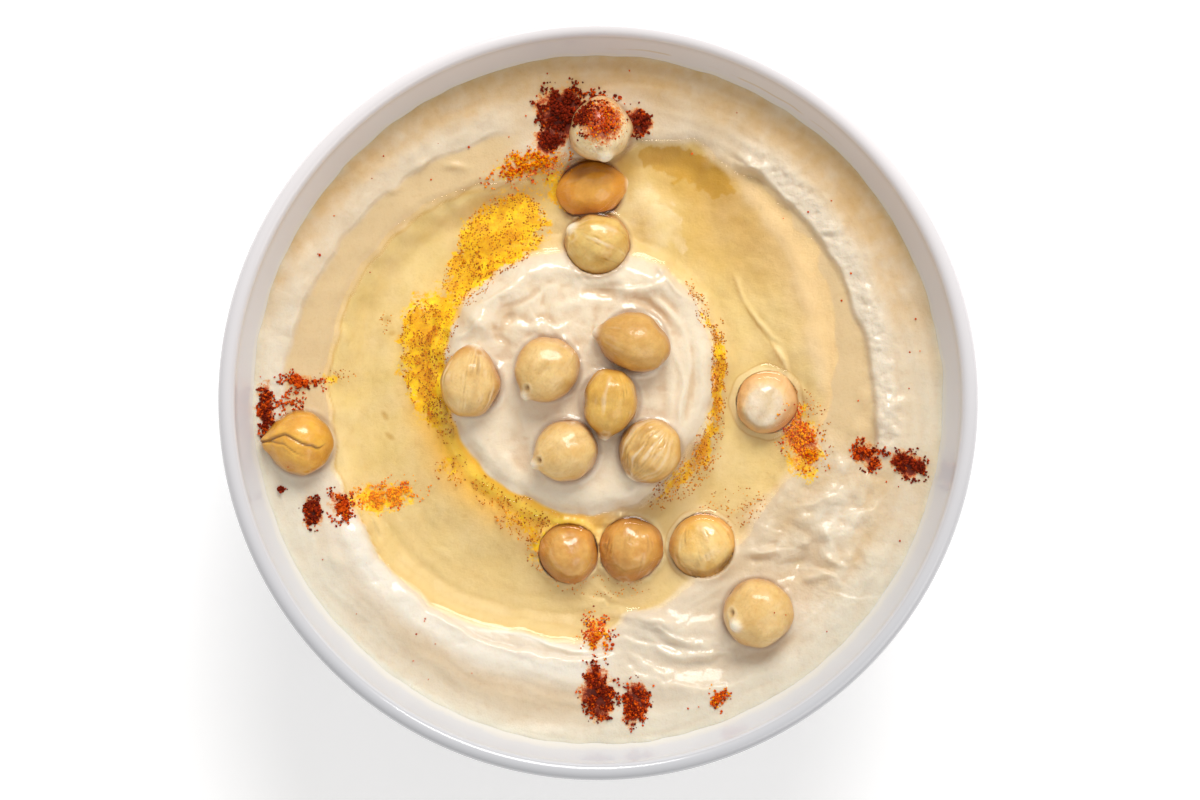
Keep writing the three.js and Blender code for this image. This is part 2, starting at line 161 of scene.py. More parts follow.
# Thin layers of dip with one crisp edge: the middle of that edge, half length, width behind it, heading,
# bend and height.
LIPS = placed(
    # in front: tongues with their lit edges away from the viewer
    (628, 612, 5.6, 1.7, 167, -0.01, 0.85), (612, 600, 2.2, 1.0, 150, -0.05, 0.5),
    (672, 634, 6.0, 1.6, 162, 0.015, 0.80), (648, 648, 3.6, 1.1, 176, -0.03, 0.5),
    (706, 655, 4.4, 1.4, 172, -0.03, 0.60), (700, 688, 9.0, 2.2, 180, -0.018, 0.60),
    (652, 668, 3.4, 1.2, 150, 0.02, 0.45),
    # lower right: curls and the rims of pits
    (828, 571, 3.0, 1.6, 160, 0.07, 0.6), (842, 548, 2.2, 1.4, 110, 0.10, 0.5),
    (776, 552, 3.0, 1.6, 188, -0.06, 0.4), (772, 530, 2.6, 1.6, 165, -0.05, 0.35),
    (868, 508, 3.6, 2.2, 205, -0.03, 0.35), (822, 500, 3.4, 2.2, 198, -0.04, 0.35),
    (886, 446, 2.8, 2.0, 230, -0.05, 0.30), (850, 598, 3.6, 2.2, 170, -0.03, 0.25),
    # the mound: the fold at its top and the thin one at the lower right
    (640, 285, 4.6, 1.6, 190, -0.03, 0.60), (585, 268, 4.0, 1.4, 176, -0.03, 0.50),
    (498, 290, 3.6, 1.4, 215, -0.04, 0.60), (470, 322, 2.6, 1.2, 232, -0.06, 0.50),
    (548, 322, 2.2, 1.0, 160, -0.10, 0.55),
    # upper right: where the torn ridge begins
    (752, 160, 3.0, 1.4, 168, -0.04, 0.7), (782, 186, 3.0, 1.3, 140, -0.02, 0.5),
)

# Chickpeas. Lift is above the dip's surface; heading, pitch and roll are in degrees.
Pea = namedtuple("Pea", "x y lift heading pitch roll size look skin beak")
CHICKPEAS = [Pea(*row) for row in (
    (0.4, 50.2, 3.4, -80, 25, 10, (11.8, 11.6, 11.0), "dusted", "creased", "broad"),
    (-1.5, 39.4, -0.4, 10, 0, 90, (12.6, 11.0, 9.8), "sunk", "smooth", "blunt"),
    (-0.2, 29.0, 1.4, 150, 15, -20, (11.6, 11.6, 11.0), "folded", "veined", "broad"),
    (-23.8, 3.0, 2.2, 78, -5, 15, (12.4, 10.8, 10.4), "dry", "veined", "blunt"),
    (-9.3, 6.0, 2.4, 228, 14, 0, (12.0, 11.4, 10.8), "dry", "smooth", "small"),
    (6.8, 10.8, 2.4, 166, 0, 150, (13.2, 10.6, 11.0), "tan", "smooth", "broad"),
    (2.2, -0.2, 3.3, 260, -8, -15, (12.2, 9.8, 10.2), "golden", "veined", "broad"),
    (-5.8, -9.4, 2.2, 204, 16, 0, (12.2, 11.2, 10.6), "dry", "smooth", "small"),
    (9.6, -9.6, 2.2, 232, -10, 25, (12.0, 11.4, 10.6), "fanned", "crumpled", "blunt"),
    (-55.2, -8.0, 1.8, 178, 10, 0, (11.6, 11.8, 11.0), "split", "split", "broad"),
    (31.6, -0.4, 0.4, 60, -20, 0, (11.6, 10.8, 10.2), "pale", "smooth", "blunt"),
    (-5.6, -28.4, 0.6, 110, -25, 0, (11.2, 10.4, 10.2), "oiled", "smooth", "small"),
    (6.0, -27.8, 0.6, 262, -10, 0, (11.2, 11.2, 10.4), "oiled", "veined", "blunt"),
    (19.6, -27.4, 0.8, 285, -15, 0, (11.8, 11.6, 10.6), "wet", "veined", "blunt"),
    (29.6, -39.6, 2.4, 205, 44, 80, (12.4, 12.8, 13.0), "dry", "smooth", "small"),
)]


# ---- number helpers
def rgb(code):
    """A colour given as it looks on a screen, in the linear values that shaders take."""
    values = [int(code[k:k + 2], 16) / 255 for k in (1, 3, 5)]
    return [v / 12.92 if v <= 0.04045 else ((v + 0.055) / 1.055) ** 2.4 for v in values] + [1.0]


def ramp(low, high, x):
    """0 below low, 1 above high, and smooth between."""
    t = np.clip((x - low) / (high - low), 0, 1)
    return t * t * (3 - 2 * t)


def bell(x):
    return np.exp(-x * x)


def between(x, a, b, c, d):
    """0 up to a, 1 from b to c, and 0 again from d on."""
    return ramp(a, b, x) * (1 - ramp(c, d, x))


def cos_sin(degrees):
    return math.cos(math.radians(degrees)), math.sin(math.radians(degrees))


def turn(a, b):
    """Least turn from angle b to angle a, in degrees."""
    return (a - b + 180) % 360 - 180


def closed_radius(radii, angle):
    """A smooth closed outline given by radii at even steps of angle."""
    radii = np.asarray(radii, float)
    place = (angle % 360) / (360 / len(radii))
    i = np.floor(place).astype(int)
    t = place - i
    a, b, c, d = (radii[(i + k) % len(radii)] for k in (-1, 0, 1, 2))
    return b + 0.5 * t * (c - a + t * (2 * a - 5 * b + 4 * c - d + t * (3 * (b - c) + d - a)))


NOISE_GRID = 128
NOISE_SHIFT = (512.3, 512.7)
CLUMP_GRID = 64
CLUMP_SHIFT = 256


def noise(x, y, cell, seed):
    """Smooth noise from about -1 to 1, with features about one cell wide. Each seed turns its grid."""
    angles = np.random.default_rng(seed).uniform(0, 2 * np.pi, (NOISE_GRID, NOISE_GRID))
    c, s = math.cos(2.4 * seed), math.sin(2.4 * seed)
    x = np.asarray(x, float) / cell
    y = np.asarray(y, float) / cell
    u = x * c - y * s + NOISE_SHIFT[0]
    v = x * s + y * c + NOISE_SHIFT[1]
    i = np.floor(u).astype(int)
    j = np.floor(v).astype(int)
    fu, fv = u - i, v - j
    su, sv = (f * f * f * (f * (6 * f - 15) + 10) for f in (fu, fv))

    def corner(di, dj):
        a = angles[(i + di) % NOISE_GRID, (j + dj) % NOISE_GRID]
        return np.cos(a) * (fu - di) + np.sin(a) * (fv - dj)

    low = corner(0, 0) * (1 - su) + corner(1, 0) * su
    high = corner(0, 1) * (1 - su) + corner(1, 1) * su
    return 1.5 * (low * (1 - sv) + high * sv)


def layered(x, y, cell, seed, layers=4, fade=0.5):
    """Several sizes of noise on top of each other."""
    return sum(fade ** k * noise(x, y, cell / 2 ** k, seed + 31 * k) for k in range(layers))


def clumps(x, y, cell, seed, bare=0.3):
    """Rounded lumps about one cell apart, with creases where they meet and gaps where some are missing."""
    rng = np.random.default_rng(seed)
    shift = rng.uniform(0.1, 0.9, (CLUMP_GRID, CLUMP_GRID, 2))
    size = np.maximum(0, rng.uniform(-bare, 1, (CLUMP_GRID, CLUMP_GRID)))
    u = np.asarray(x, float) / cell + CLUMP_SHIFT
    v = np.asarray(y, float) / cell + CLUMP_SHIFT
    i = np.floor(u).astype(int)
    j = np.floor(v).astype(int)
    total = np.zeros_like(u)
    for di, dj in product((-1, 0, 1), repeat=2):
        a, b = (i + di) % CLUMP_GRID, (j + dj) % CLUMP_GRID
        far = (u - i - di - shift[a, b, 0]) ** 2 + (v - j - dj - shift[a, b, 1]) ** 2
        total = np.maximum(total, size[a, b] * (1 - np.minimum(1, far / 0.6)))
    return total


# ---- the dip's surface
def stroke(start, end, radii, angle):
    """How strong a stroke of the spoon is at each angle, and the radius at which it runs."""
    half = (end - start) / 2
    s = turn(angle, start + half) / half
    strength = 1 - ramp(1 - RIDGE_FADE / half, 1, np.abs(s))
    first, middle, last = radii
    return strength, middle + (last - first) / 2 * s + ((last + first) / 2 - middle) * s * s


def ridge(shape, r, angle, crisp):
    """The dip's height over one ridge."""
    start, end, radii, height, width, share = shape
    strength, radius = stroke(start, end, radii, angle)
    u = r - radius
    if crisp:
        back = bell(np.maximum(0, u - CRISP_TOP) / (CRISP_BACK * width))
        return share * height * strength * ramp(*CRISP_EDGE, u) * back
    back = bell(np.maximum(0, u - EDGE_AFTER) / width)
    return height * strength * ramp(-EDGE_BEFORE, EDGE_AFTER, u) * back


def hollow(shape, r, angle):
    """The dip's depth in the hollow outside the lower left ridge."""
    start, end, radii, depth, width = shape
    strength, radius = stroke(start, end, radii, angle)
    return -depth * strength * bell((r - radius) / width)


def beside(x, y, place, heading, bend=0):
    """How far x, y lies along a line through a place, and how far across it. The line may be bent."""
    c, s = cos_sin(heading)
    along = (x - place[0]) * c + (y - place[1]) * s
    return along, (y - place[1]) * c - (x - place[0]) * s - bend * along ** 2


def dent(shape, x, y):
    """One fold or mark: a soft bump, or a hollow where its height is negative."""
    place, half_length, half_width, heading, bend, height = shape
    along, across = beside(x, y, place, heading, bend)
    return height * bell(along / half_length) * bell(across / half_width)


def ripple(x, y):
    """Low waves all over the dip."""
    return (0.16 * np.sin(0.31 * x + 1.7 * np.sin(0.13 * y)) * np.sin(0.27 * y + 0.6)
            + 0.1 * np.sin(0.53 * x - 0.37 * y) * np.sin(0.41 * x + 0.49 * y + 2))


def mound_body(x, y):
    """1 on the mound and 0 off it; how far each point is from its middle; and how far its edge is."""
    mx, my = MOUND_AT
    away = np.hypot(x - mx, y - my)
    edge = closed_radius(MOUND_RADII, np.degrees(np.arctan2(y - my, x - mx)))
    return 1 - ramp(edge - MOUND_SLOPE, edge + MOUND_SLOPE, away), away, edge


def mound_side(x, y, low, heading):
    """1 on the side of the mound that faces a heading in radians, 0 on the others."""
    mx, my = MOUND_AT
    return ramp(low, 0.8, np.cos(np.arctan2(y - my, x - mx) - heading))


def bank(x, y, crisp=False):
    """0 in the ring-shaped hollow, 1 outside it; with the radius and angle of each point."""
    r = np.hypot(x, y)
    angle = np.degrees(np.arctan2(y, x))
    inside = SHORE_INSIDE
    if crisp:
        inside = CRISP_SHORE + WIDE_SHORE * between(angle, -2, 16, 52, 72)
    return ramp(-inside, SHORE_OUTSIDE, r - closed_radius(SHORE, angle)), r, angle


def solid_height(x, y, crisp=False):
    """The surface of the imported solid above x, y. Crisp, its ridges have sharp edges and flat tops."""
    rise, r, angle = bank(x, y, crisp)
    body, away, _ = mound_body(x, y)
    field = FIELD_HEIGHT + WALL_RISE * ramp(WALL_RISE_FROM, WALL_RISE_TO, r)
    mound = body * (MOAT_DEPTH + MOUND_HEIGHT + CROWN * bell(away / CROWN_RADIUS))
    z = OIL_LEVEL - MOAT_DEPTH + rise * (MOAT_DEPTH + field) + mound + ripple(x, y)
    for shape in RIDGES:
        z = z + ridge(shape, r, angle, crisp)
    for shape in FOLDS:
        z = z + dent(shape, x, y)
    return z + (CRISP_HOLLOW if crisp else 1) * hollow(HOLLOW, r, angle)


def wander(x, y):
    """Points moved a little, so that no edge of the dip runs as evenly as it was drawn."""
    return (x + 0.7 * noise(x, y, 9, 81) + 0.4 * noise(x, y, 3.6, 82),
            y + 0.7 * noise(x, y, 9, 83) + 0.4 * noise(x, y, 3.6, 84))


def lips(x, y):
    """Thin layers of dip smeared over it, each with one crisp edge."""
    total = np.zeros_like(x)
    for place, half_length, width, heading, bend, height in LIPS:
        along, across = beside(x, y, place, heading, bend)
        layer = ramp(-0.15, 0.40, across) * bell(np.maximum(0, across - 0.4) / width)
        total = np.maximum(total, height * bell(along / half_length) ** 0.7 * layer)
    return total


def grain_of_dip(x, y):
    """Coarse grains of ground chickpea, small pits, and a finer roughness."""
    lumps = 0.20 * clumps(x, y, 2.4, 21, 1.2) + 0.13 * clumps(x, y, 1.5, 22, 0.8)
    pits = 0.26 * ramp(0.42, 0.85, noise(x, y, 2.1, 23))
    return lumps - pits + 0.06 * noise(x, y, 1.2, 24)


def crests(r, angle, ridges=RIDGES):
    """1 along the top edge of each ridge."""
    total = np.zeros_like(r)
    for start, end, radii, *_ in ridges:
        strength, radius = stroke(start, end, radii, angle)
        total = np.maximum(total, strength * bell((r - radius - 2.5) / 2.6))
    return total


def slopes(r, angle):
    """1 on the smooth oily slopes between the shore and the two upper ridges."""
    total = np.zeros_like(r)
    shore = closed_radius(SHORE, angle)
    for start, end, radii, *_ in RIDGES[:2]:
        strength, radius = stroke(start, end, radii, angle)
        within = between(r, shore - 2.5, shore + 1.5, radius - 0.6, radius + 0.4)
        total = np.maximum(total, strength * within)
    return total


def shore_lines(r, angle):
    """Fine lines that the spoon drew in the oil, side by side with the lower left shore."""
    off = r - closed_radius(SHORE, angle)
    along = between(angle % 360, 203, 218, 262, 276)
    off = off + 0.5 * noise(angle / 9, off / 3, 1.0, 55)
    return noise(off, angle / 60, 1.5, 56) * bell((off + 4.4) / 3.4) * along


def jagged(x, y, reach):
    """Points moved by about a reach, so that an outline drawn with them comes out ragged."""
    return (x + reach * (noise(x, y, 3.0, 85) + 0.7 * noise(x, y, 1.3, 86)),
            y + reach * (noise(x, y, 3.0, 87) + 0.7 * noise(x, y, 1.3, 88)))


def shoal(x, y):
    """1 on the shoal that shows pale under the oil, with a ragged edge on its right."""
    u, v = jagged(x, y, 1.3)
    soft = 0.05 + 0.5 * ramp(13.5, 9.5, x)
    return ramp(0.44 - soft, 0.46 + soft, spots(SHOAL, u, v)) * (0.7 + 0.5 * noise(x, y, 2.2, 68))


def blobs(x, y, cell, seed, low=-0.15, high=0.75):
    """Round soft lumps about one cell apart, from 0 to 1."""
    return ramp(low, high, noise(x, y, cell, seed))


def lower_right(x, y):
    """1 where the dip fell in lumps from the spoon."""
    return ramp(0.12, 0.75, bell((x - 41) / 13) * bell((y + 22) / 20))


def in_front(x, y):
    """1 on the folds in front, nearest to the viewer."""
    return bell((x - 14) / 16) * bell((y + 46) / 8)


def facing_left(x, y):
    """1 on the mound's lower left side."""
    return mound_side(x, y, 0.15, math.radians(212))


def fine_relief(x, y):
    """What the spoon and the grind leave on the surface, finer than the solid has it."""
    rise, r, angle = bank(x, y)
    body, away, edge = mound_body(x, y)
    ring = away - edge
    shore = closed_radius(SHORE, angle)
    slope = slopes(r, angle)
    # Long streaks along the spoon's path: noise squeezed across it and drawn out along it.
    bent = r + 1.2 * noise(x, y, 11, 5)
    arc = np.radians(angle) * 50
    streaks = 0.13 * noise(bent, arc / 9, 1.9, 11) + 0.05 * noise(bent, arc / 7, 1.0, 12)
    wx = x + 1.5 * noise(x, y, 6, 41) + 0.45 * noise(x, y, 2.1, 40)
    wy = y + 1.5 * noise(x, y, 6, 42) + 0.45 * noise(x, y, 2.1, 39)
    # Only the ridge at the upper right is torn into grains; the others are drawn smooth.
    torn = crests(r, angle, RIDGES[:1])
    crumbs = torn * (0.50 * clumps(wx, wy, 3.4, 33) + 0.36 * clumps(wx, wy, 1.4, 34) - 0.10)
    soft = 0.42 * clumps(wx, wy, 3.8, 35) + 0.12 * noise(bent, arc / 4, 2.6, 36)
    soft *= crests(r, angle, RIDGES[1:])
    # Lumps where the dip fell from the spoon: at the lower right, in front and on the mound.
    fallen = lower_right(x, y) * rise
    front = in_front(x, y) * rise
    lx, ly = x + 0.8 * noise(x, y, 7, 41), y + 0.8 * noise(x, y, 7, 42)
    lumps = 0.50 * blobs(lx, ly, 5.2, 43, 0, 0.9) + 0.50 * clumps(lx, ly, 3.3, 44, 1.0)
    lumps += 0.16 * clumps(lx, ly, 1.7, 49, 0.8)
    smears = 0.14 * noise(wx / 3.0, wy, 2.4, 45) + 0.24 * clumps(wx / 2.2, wy, 3.0, 50)
    on_mound = body * (0.22 + 0.78 * ramp(-4, 9, y)) * (1 - 0.8 * ramp(7, 17, x))
    curls = 0.45 * clumps(wx, wy, 6.8, 46) + 0.30 * clumps(wx, wy, 2.7, 47) * blobs(x, y, 7, 48)
    curls += 0.40 * noise(wx, wy, 4.8, 51) + 0.13 * noise(wx, wy, 2.4, 52)
    # On the mound's right side a thin lower shelf runs out from under the main heap.
    shelf = -0.5 * body * mound_side(x, y, 0.35, -0.1) * ramp(edge - 5.6, edge - 4.4, away)
    strip = slope * (1 - 0.75 * ramp(shore + 1, shore + 7, r)) * (0.15 + 0.45 * ramp(-5, 15, x))
    detail = streaks * (0.4 + 0.6 * rise) * (1 - body) * (1 - 0.8 * slope) - strip - 0.2 * torn
    detail += 0.12 * shore_lines(r, angle)
    # The moat is shallow along the mound's lower left side, where the yellow shows brightest.
    detail += 2.25 * facing_left(x, y) * between(ring, -1.8, 2.0, 3, 15)
    rough = 0.20 * (1 - slope) + 0.16 * body + 0.80 * torn + 0.12 * fallen + 0.25 * front
    detail += grain_of_dip(x, y) * rough
    detail += crumbs + soft + lumps * fallen + smears * front + curls * on_mound + shelf
    moved = wander(x, y)
    return detail + sum(dent(mark, *moved) for mark in MARKS) + lips(*jagged(*moved, 0.3))


def pea_frame(pea):
    """A chickpea's middle, its rotation matrix and its half sizes."""
    a, b, c = math.radians(pea.heading), math.radians(-pea.pitch), math.radians(pea.roll)
    rz = np.array([[math.cos(a), -math.sin(a), 0], [math.sin(a), math.cos(a), 0], [0, 0, 1]])
    ry = np.array([[math.cos(b), 0, math.sin(b)], [0, 1, 0], [-math.sin(b), 0, math.cos(b)]])
    rx = np.array([[1, 0, 0], [0, math.cos(c), -math.sin(c)], [0, math.sin(c), math.cos(c)]])
    z = float(solid_height(np.array(pea.x, float), np.array(pea.y, float))) + pea.lift
    return np.array([pea.x, pea.y, z]), rz @ ry @ rx, np.array(pea.size) / 2


PEA_FRAMES = [pea_frame(pea) for pea in CHICKPEAS]


def near_pea(place, x, y, level=None):
    """How far x, y lies outside a chickpea's plan, or outside its cut at a level, in millimetres."""
    middle, _, half = place
    radius = (half[0] + half[1]) / 2
    if level is not None:
        rise = (level - middle[2]) / half[2]
        radius = radius * math.sqrt(max(0.02, 1 - rise * rise))
    return np.hypot(x - middle[0], y - middle[1]) - radius


# The raised border of dip round a chickpea, and how closely the dip fits it from below.
BORDER = 0.45
BORDER_WIDTH = 0.8
PEA_FIT = 0.94
# Where it creeps up the wall: how far, how unevenly, and from how close.
CREEP = 0.4
CREEP_UNEVEN = 0.3
CREEP_REACH = 0.9


def hummus_height(x, y):
    """The surface that shows: the solid's, with its fine relief and a dent round each chickpea."""
    x = np.asarray(x, float)
    y = np.asarray(y, float)
    z = solid_height(*wander(x, y), crisp=True) + fine_relief(x, y)
    for pea, place in zip(CHICKPEAS, PEA_FRAMES):
        middle, _, half = place
        outside = near_pea(place, x, y)
        ragged = 0.9 * (0.45 + 0.55 * noise(x, y, 1.7, 91)) if pea.look == "oiled" else 0
        z = z + BORDER * bell(outside / BORDER_WIDTH) + ragged * bell((outside - 0.7) / 0.9)
        reach = 1 - np.clip(1 + outside / ((half[0] + half[1]) / 2), 0, 1) ** 2
        hug = np.maximum(0, z - middle[2]) * ramp(-1.3, 0.0, outside)
        floor = middle[2] + hug - PEA_FIT * half[2] * np.sqrt(reach)
        z = np.where(outside < 0, np.minimum(z, floor), z)
    to_wall = np.minimum(0, np.hypot(x, y) - wall_radius(z))
    return z + (CREEP + CREEP_UNEVEN * noise(x, y, 5, 92)) * np.exp(to_wall / CREEP_REACH)


# ---- meshes
def add_object(name, data):
    obj = bpy.data.objects.new(name, data)
    bpy.context.scene.collection.objects.link(obj)
    return obj


def make_object(name, points, faces, attributes=None):
    """A smooth-shaded object from points in millimetres and lists of faces."""
    mesh = bpy.data.meshes.new(name)
    points = np.asarray(points, np.float32) * MM
    groups = [np.asarray(f, np.int32) for f in faces if len(f)]
    corners = np.concatenate([g.ravel() for g in groups])
    sizes = np.concatenate([np.full(len(g), g.shape[1], np.int32) for g in groups])
    starts = np.concatenate([[0], np.cumsum(sizes)[:-1]]).astype(np.int32)
    mesh.vertices.add(len(points))
    mesh.vertices.foreach_set("co", points.ravel())
    mesh.loops.add(len(corners))
    mesh.loops.foreach_set("vertex_index", corners)
    mesh.polygons.add(len(sizes))
    mesh.polygons.foreach_set("loop_start", starts)
    mesh.polygons.foreach_set("loop_total", sizes)
    mesh.update(calc_edges=True)
    mesh.validate()
    mesh.polygons.foreach_set("use_smooth", np.ones(len(mesh.polygons), bool))
    for key, values in (attributes or {}).items():
        values = np.asarray(values, np.float32)
        if values.ndim == 2:
            layer = mesh.attributes.new(key, "FLOAT_COLOR", "POINT")
            layer.data.foreach_set("color", np.column_stack([values, np.ones(len(values))]).ravel())
        else:
            layer = mesh.attributes.new(key, "FLOAT", "POINT")
            layer.data.foreach_set("value", values)
    return add_object(name, mesh)


def disk_grid(count):
    """Points of an even grid over the unit disk, its quads, and its border in order."""
    line = np.linspace(-1, 1, count + 1)
    a, b = np.meshgrid(line, line)
    wide = np.abs(a) > np.abs(b)
    with np.errstate(divide="ignore", invalid="ignore"):
        r = np.where(wide, a, b)
        phi = np.where(wide, np.pi / 4 * b / a, np.pi / 2 - np.pi / 4 * a / b)
    phi = np.where((a == 0) & (b == 0), 0, phi)
    x, y = r * np.cos(phi), r * np.sin(phi)
    index = np.arange((count + 1) ** 2).reshape(count + 1, count + 1)
    quads = np.stack([index[:-1, :-1], index[:-1, 1:], index[1:, 1:], index[1:, :-1]], -1).reshape(-1, 4)
    border = np.concatenate([index[0, :-1], index[:-1, -1], index[-1, :0:-1], index[:0:-1, 0]])
    return x.ravel(), y.ravel(), quads, border


def closed_faces(rings, count):
    """Faces between rings of points that follow each other, and two poles that come after them."""
    i = np.arange(count)
    j = (i + 1) % count
    rows = np.arange(rings - 1)[:, None] * count
    quads = np.stack([rows + i, rows + j, rows + count + j, rows + count + i], -1).reshape(-1, 4)
    first = np.full(count, rings * count)
    last_ring = (rings - 1) * count
    fans = [np.stack([first, j, i], -1), np.stack([last_ring + i, last_ring + j, first + 1], -1)]
    return quads, np.concatenate(fans)


# ---- the bowl
BOWL_SEGMENTS = 300
# Given as the height above the dip wherever a point is not on the inner wall.
FAR_ABOVE = 20
LIP_MIDDLE = RIM_RADIUS - LIP_WIDTH / 2
LIP_HEIGHT = BOWL_HEIGHT - LIP_WIDTH / 2
FLOOR_HEIGHT = FOOT_RECESS + FLOOR_THICKNESS
INSIDE = np.array([
    (0, FLOOR_HEIGHT),
    (0.64 * RIM_RADIUS, FLOOR_HEIGHT),
    (0.81 * RIM_RADIUS, 0.5 * BOWL_HEIGHT),
    (RIM_RADIUS - LIP_WIDTH, LIP_HEIGHT),
])
OUTSIDE = np.array([
    (FOOT_RADIUS + 0.6, FOOT_RECESS + 1.2),
    (0.69 * RIM_RADIUS, FOOT_RECESS + 2),
    (0.865 * RIM_RADIUS, 0.47 * BOWL_HEIGHT),
    (RIM_RADIUS - LIP_OVERHANG, LIP_HEIGHT - LIP_WIDTH / 2),
])


def bezier(points, t):
    t = np.asarray(t, float)[..., None]
    a, b, c, d = points
    return a * (1 - t) ** 3 + 3 * b * t * (1 - t) ** 2 + 3 * c * t ** 2 * (1 - t) + d * t ** 3


INSIDE_LINE = bezier(INSIDE, np.linspace(0, 1, 400))


def wall_radius(z):
    """The radius of the bowl's inner face at a height."""
    return np.interp(z, INSIDE_LINE[:, 1], INSIDE_LINE[:, 0])


def make_bowl():
    """The bowl, turned round its axis."""
    foot_inside = FOOT_RADIUS - FOOT_WIDTH
    foot = [(0, FOOT_RECESS), (foot_inside - 1.2, FOOT_RECESS), (foot_inside - 0.6, FOOT_RECESS * 0.8),
            (foot_inside - 0.1, 0.25), (foot_inside + 0.3, 0), (FOOT_RADIUS - 0.4, 0), (FOOT_RADIUS, 0.3)]
    angles = np.radians(np.linspace(-30, 180, 18))
    lip = np.stack([LIP_MIDDLE + LIP_WIDTH / 2 * np.cos(angles),
                    LIP_HEIGHT + LIP_WIDTH / 2 * np.sin(angles)], -1)
    outside = bezier(OUTSIDE, np.linspace(0, 1, 30))
    inside = bezier(INSIDE, np.concatenate([np.linspace(0.985, 0.82, 22), np.linspace(0.8, 0, 20)]))
    # The profile starts and ends on the axis: those two points come last, as the poles.
    profile = np.concatenate([foot, outside, lip, inside])
    turned = np.arange(BOWL_SEGMENTS) * 2 * np.pi / BOWL_SEGMENTS
    radius, height = (profile[1:-1, k, None] for k in (0, 1))
    rings = np.stack([radius * np.cos(turned), radius * np.sin(turned), height + 0 * turned], -1)
    points = np.concatenate([rings.reshape(-1, 3), [[0, 0, profile[0, 1]], [0, 0, profile[-1, 1]]]])
    # How far each point of the inner wall lies above the dip, for the film that clings there.
    angle = np.arctan2(points[:, 1], points[:, 0])
    edge = edge_radius(angle)
    edge_z = hummus_height(edge * np.cos(angle), edge * np.sin(angle))
    within = np.hypot(points[:, 0], points[:, 1]) < wall_radius(points[:, 2]) + 0.5
    above = np.where(within, points[:, 2] - edge_z, FAR_ABOVE)
    return make_object("bowl_glazed", points, closed_faces(len(rings), BOWL_SEGMENTS), {"above": above})


# ---- the dip
# Cells along each side of the grid on its top, and how far its edge reaches into the wall.
HUMMUS_GRID = 430
WALL_BITE = 0.4
# The dip's edge is found in this many directions, by this many rounds from a first guess.
EDGE_DIRECTIONS = 721
EDGE_ROUNDS = 12
EDGE_GUESS = 62.0
# Heights of the rings down its side, as shares of the full height before they are bent to the wall.
SIDE_RINGS = (0.985, 0.9, 0.72, 0.5, 0.3, 0.15)
SIDE_GAP = 0.3
# Relief, for the painted shade in hollows and painted light on crests, is measured against its surroundings:
# grid cells to each side, and the height that counts as 1.
RELIEF = ((3, 0.22), (10, 0.9))


def edge_radius(angle):
    """Where the dip meets the wall, in the given directions."""
    around = np.linspace(-np.pi, np.pi, EDGE_DIRECTIONS)
    r = np.full_like(around, EDGE_GUESS)
    for _ in range(EDGE_ROUNDS):
        r = wall_radius(hummus_height(r * np.cos(around), r * np.sin(around)))
    return np.interp(angle, around, r) + WALL_BITE


# Spice carried by the oil: place, half length, half width, heading and strength of each yellow spot.
YELLOW_SPOTS = placed(
    (500, 232, 9.4, 6.2, 38, 1.3), (474, 262, 6.4, 4.8, 60, 1.2), (455, 290, 4.0, 3.4, 70, 0.9),
    (437, 318, 4.6, 6.0, 0, 1.1), (424, 358, 4.9, 11.0, 6, 1.3), (434, 412, 2.6, 5.0, 30, 0.85),
    (447, 468, 2.2, 2.6, 0, 0.42), (480, 490, 2.4, 1.4, -42, 0.38), (520, 522, 4.6, 2.2, -30, 0.46),
    (538, 548, 2.6, 4.2, 10, 0.50), (704, 325, 1.7, 5.0, 20, 0.75), (718, 375, 1.8, 8.8, 0, 1.05),
    (708, 440, 1.8, 5.8, -16, 0.85), (684, 474, 6.8, 1.7, 42, 0.72), (800, 425, 3.2, 4.4, 20, 0.66),
    (806, 460, 3.6, 4.4, 0, 0.65), (378, 500, 6.6, 2.8, 8, 0.82), (326, 380, 2.4, 1.4, 0, 0.5),
    (524, 163, 6.6, 2.7, 12, 0.56), (596, 634, 2.8, 3.2, 0, 0.45), (560, 185, 3.0, 4.0, 0, 0.7),
)
# Red dust under the pinches of paprika, given the same way.
RED_SPOTS = placed(
    (563, 110, 5.2, 4.6, -10, 1.5), (550, 137, 3.2, 2.2, 0, 1.5), (638, 119, 2.6, 3.0, 30, 1.4),
    (532, 160, 7.6, 3.0, 12, 0.60), (262, 410, 1.7, 5.0, 5, 1.1), (297, 381, 3.2, 1.5, -8, 0.7),
    (309, 513, 1.7, 2.8, 12, 1.3), (338, 508, 2.2, 3.2, 20, 0.8), (370, 499, 7.2, 2.8, 8, 0.46),
    (805, 444, 3.4, 6.2, 20, 0.80), (672, 488, 4.4, 1.0, 40, 0.45), (717, 388, 1.1, 6.0, 0, 0.58),
    (704, 450, 1.1, 5.0, -22, 0.55), (872, 457, 2.8, 2.2, -50, 1.0), (911, 465, 3.5, 2.3, -18, 1.3),
    (599, 640, 2.6, 3.6, 10, 0.55), (597, 696, 3.0, 5.4, 8, 1.35), (636, 707, 2.6, 4.2, -12, 1.25),
    (720, 703, 1.8, 2.0, 0, 0.5), (731, 726, 1.4, 1.2, -30, 0.5),
)


def spots(rows, x, y):
    """The strongest of some oval spots at each point."""
    total = np.zeros_like(x)
    for place, half_length, half_width, heading, strength in rows:
        along, across = beside(x, y, place, heading)
        total = np.maximum(total, strength * bell((along / half_length) ** 2 + (across / half_width) ** 2))
    return total


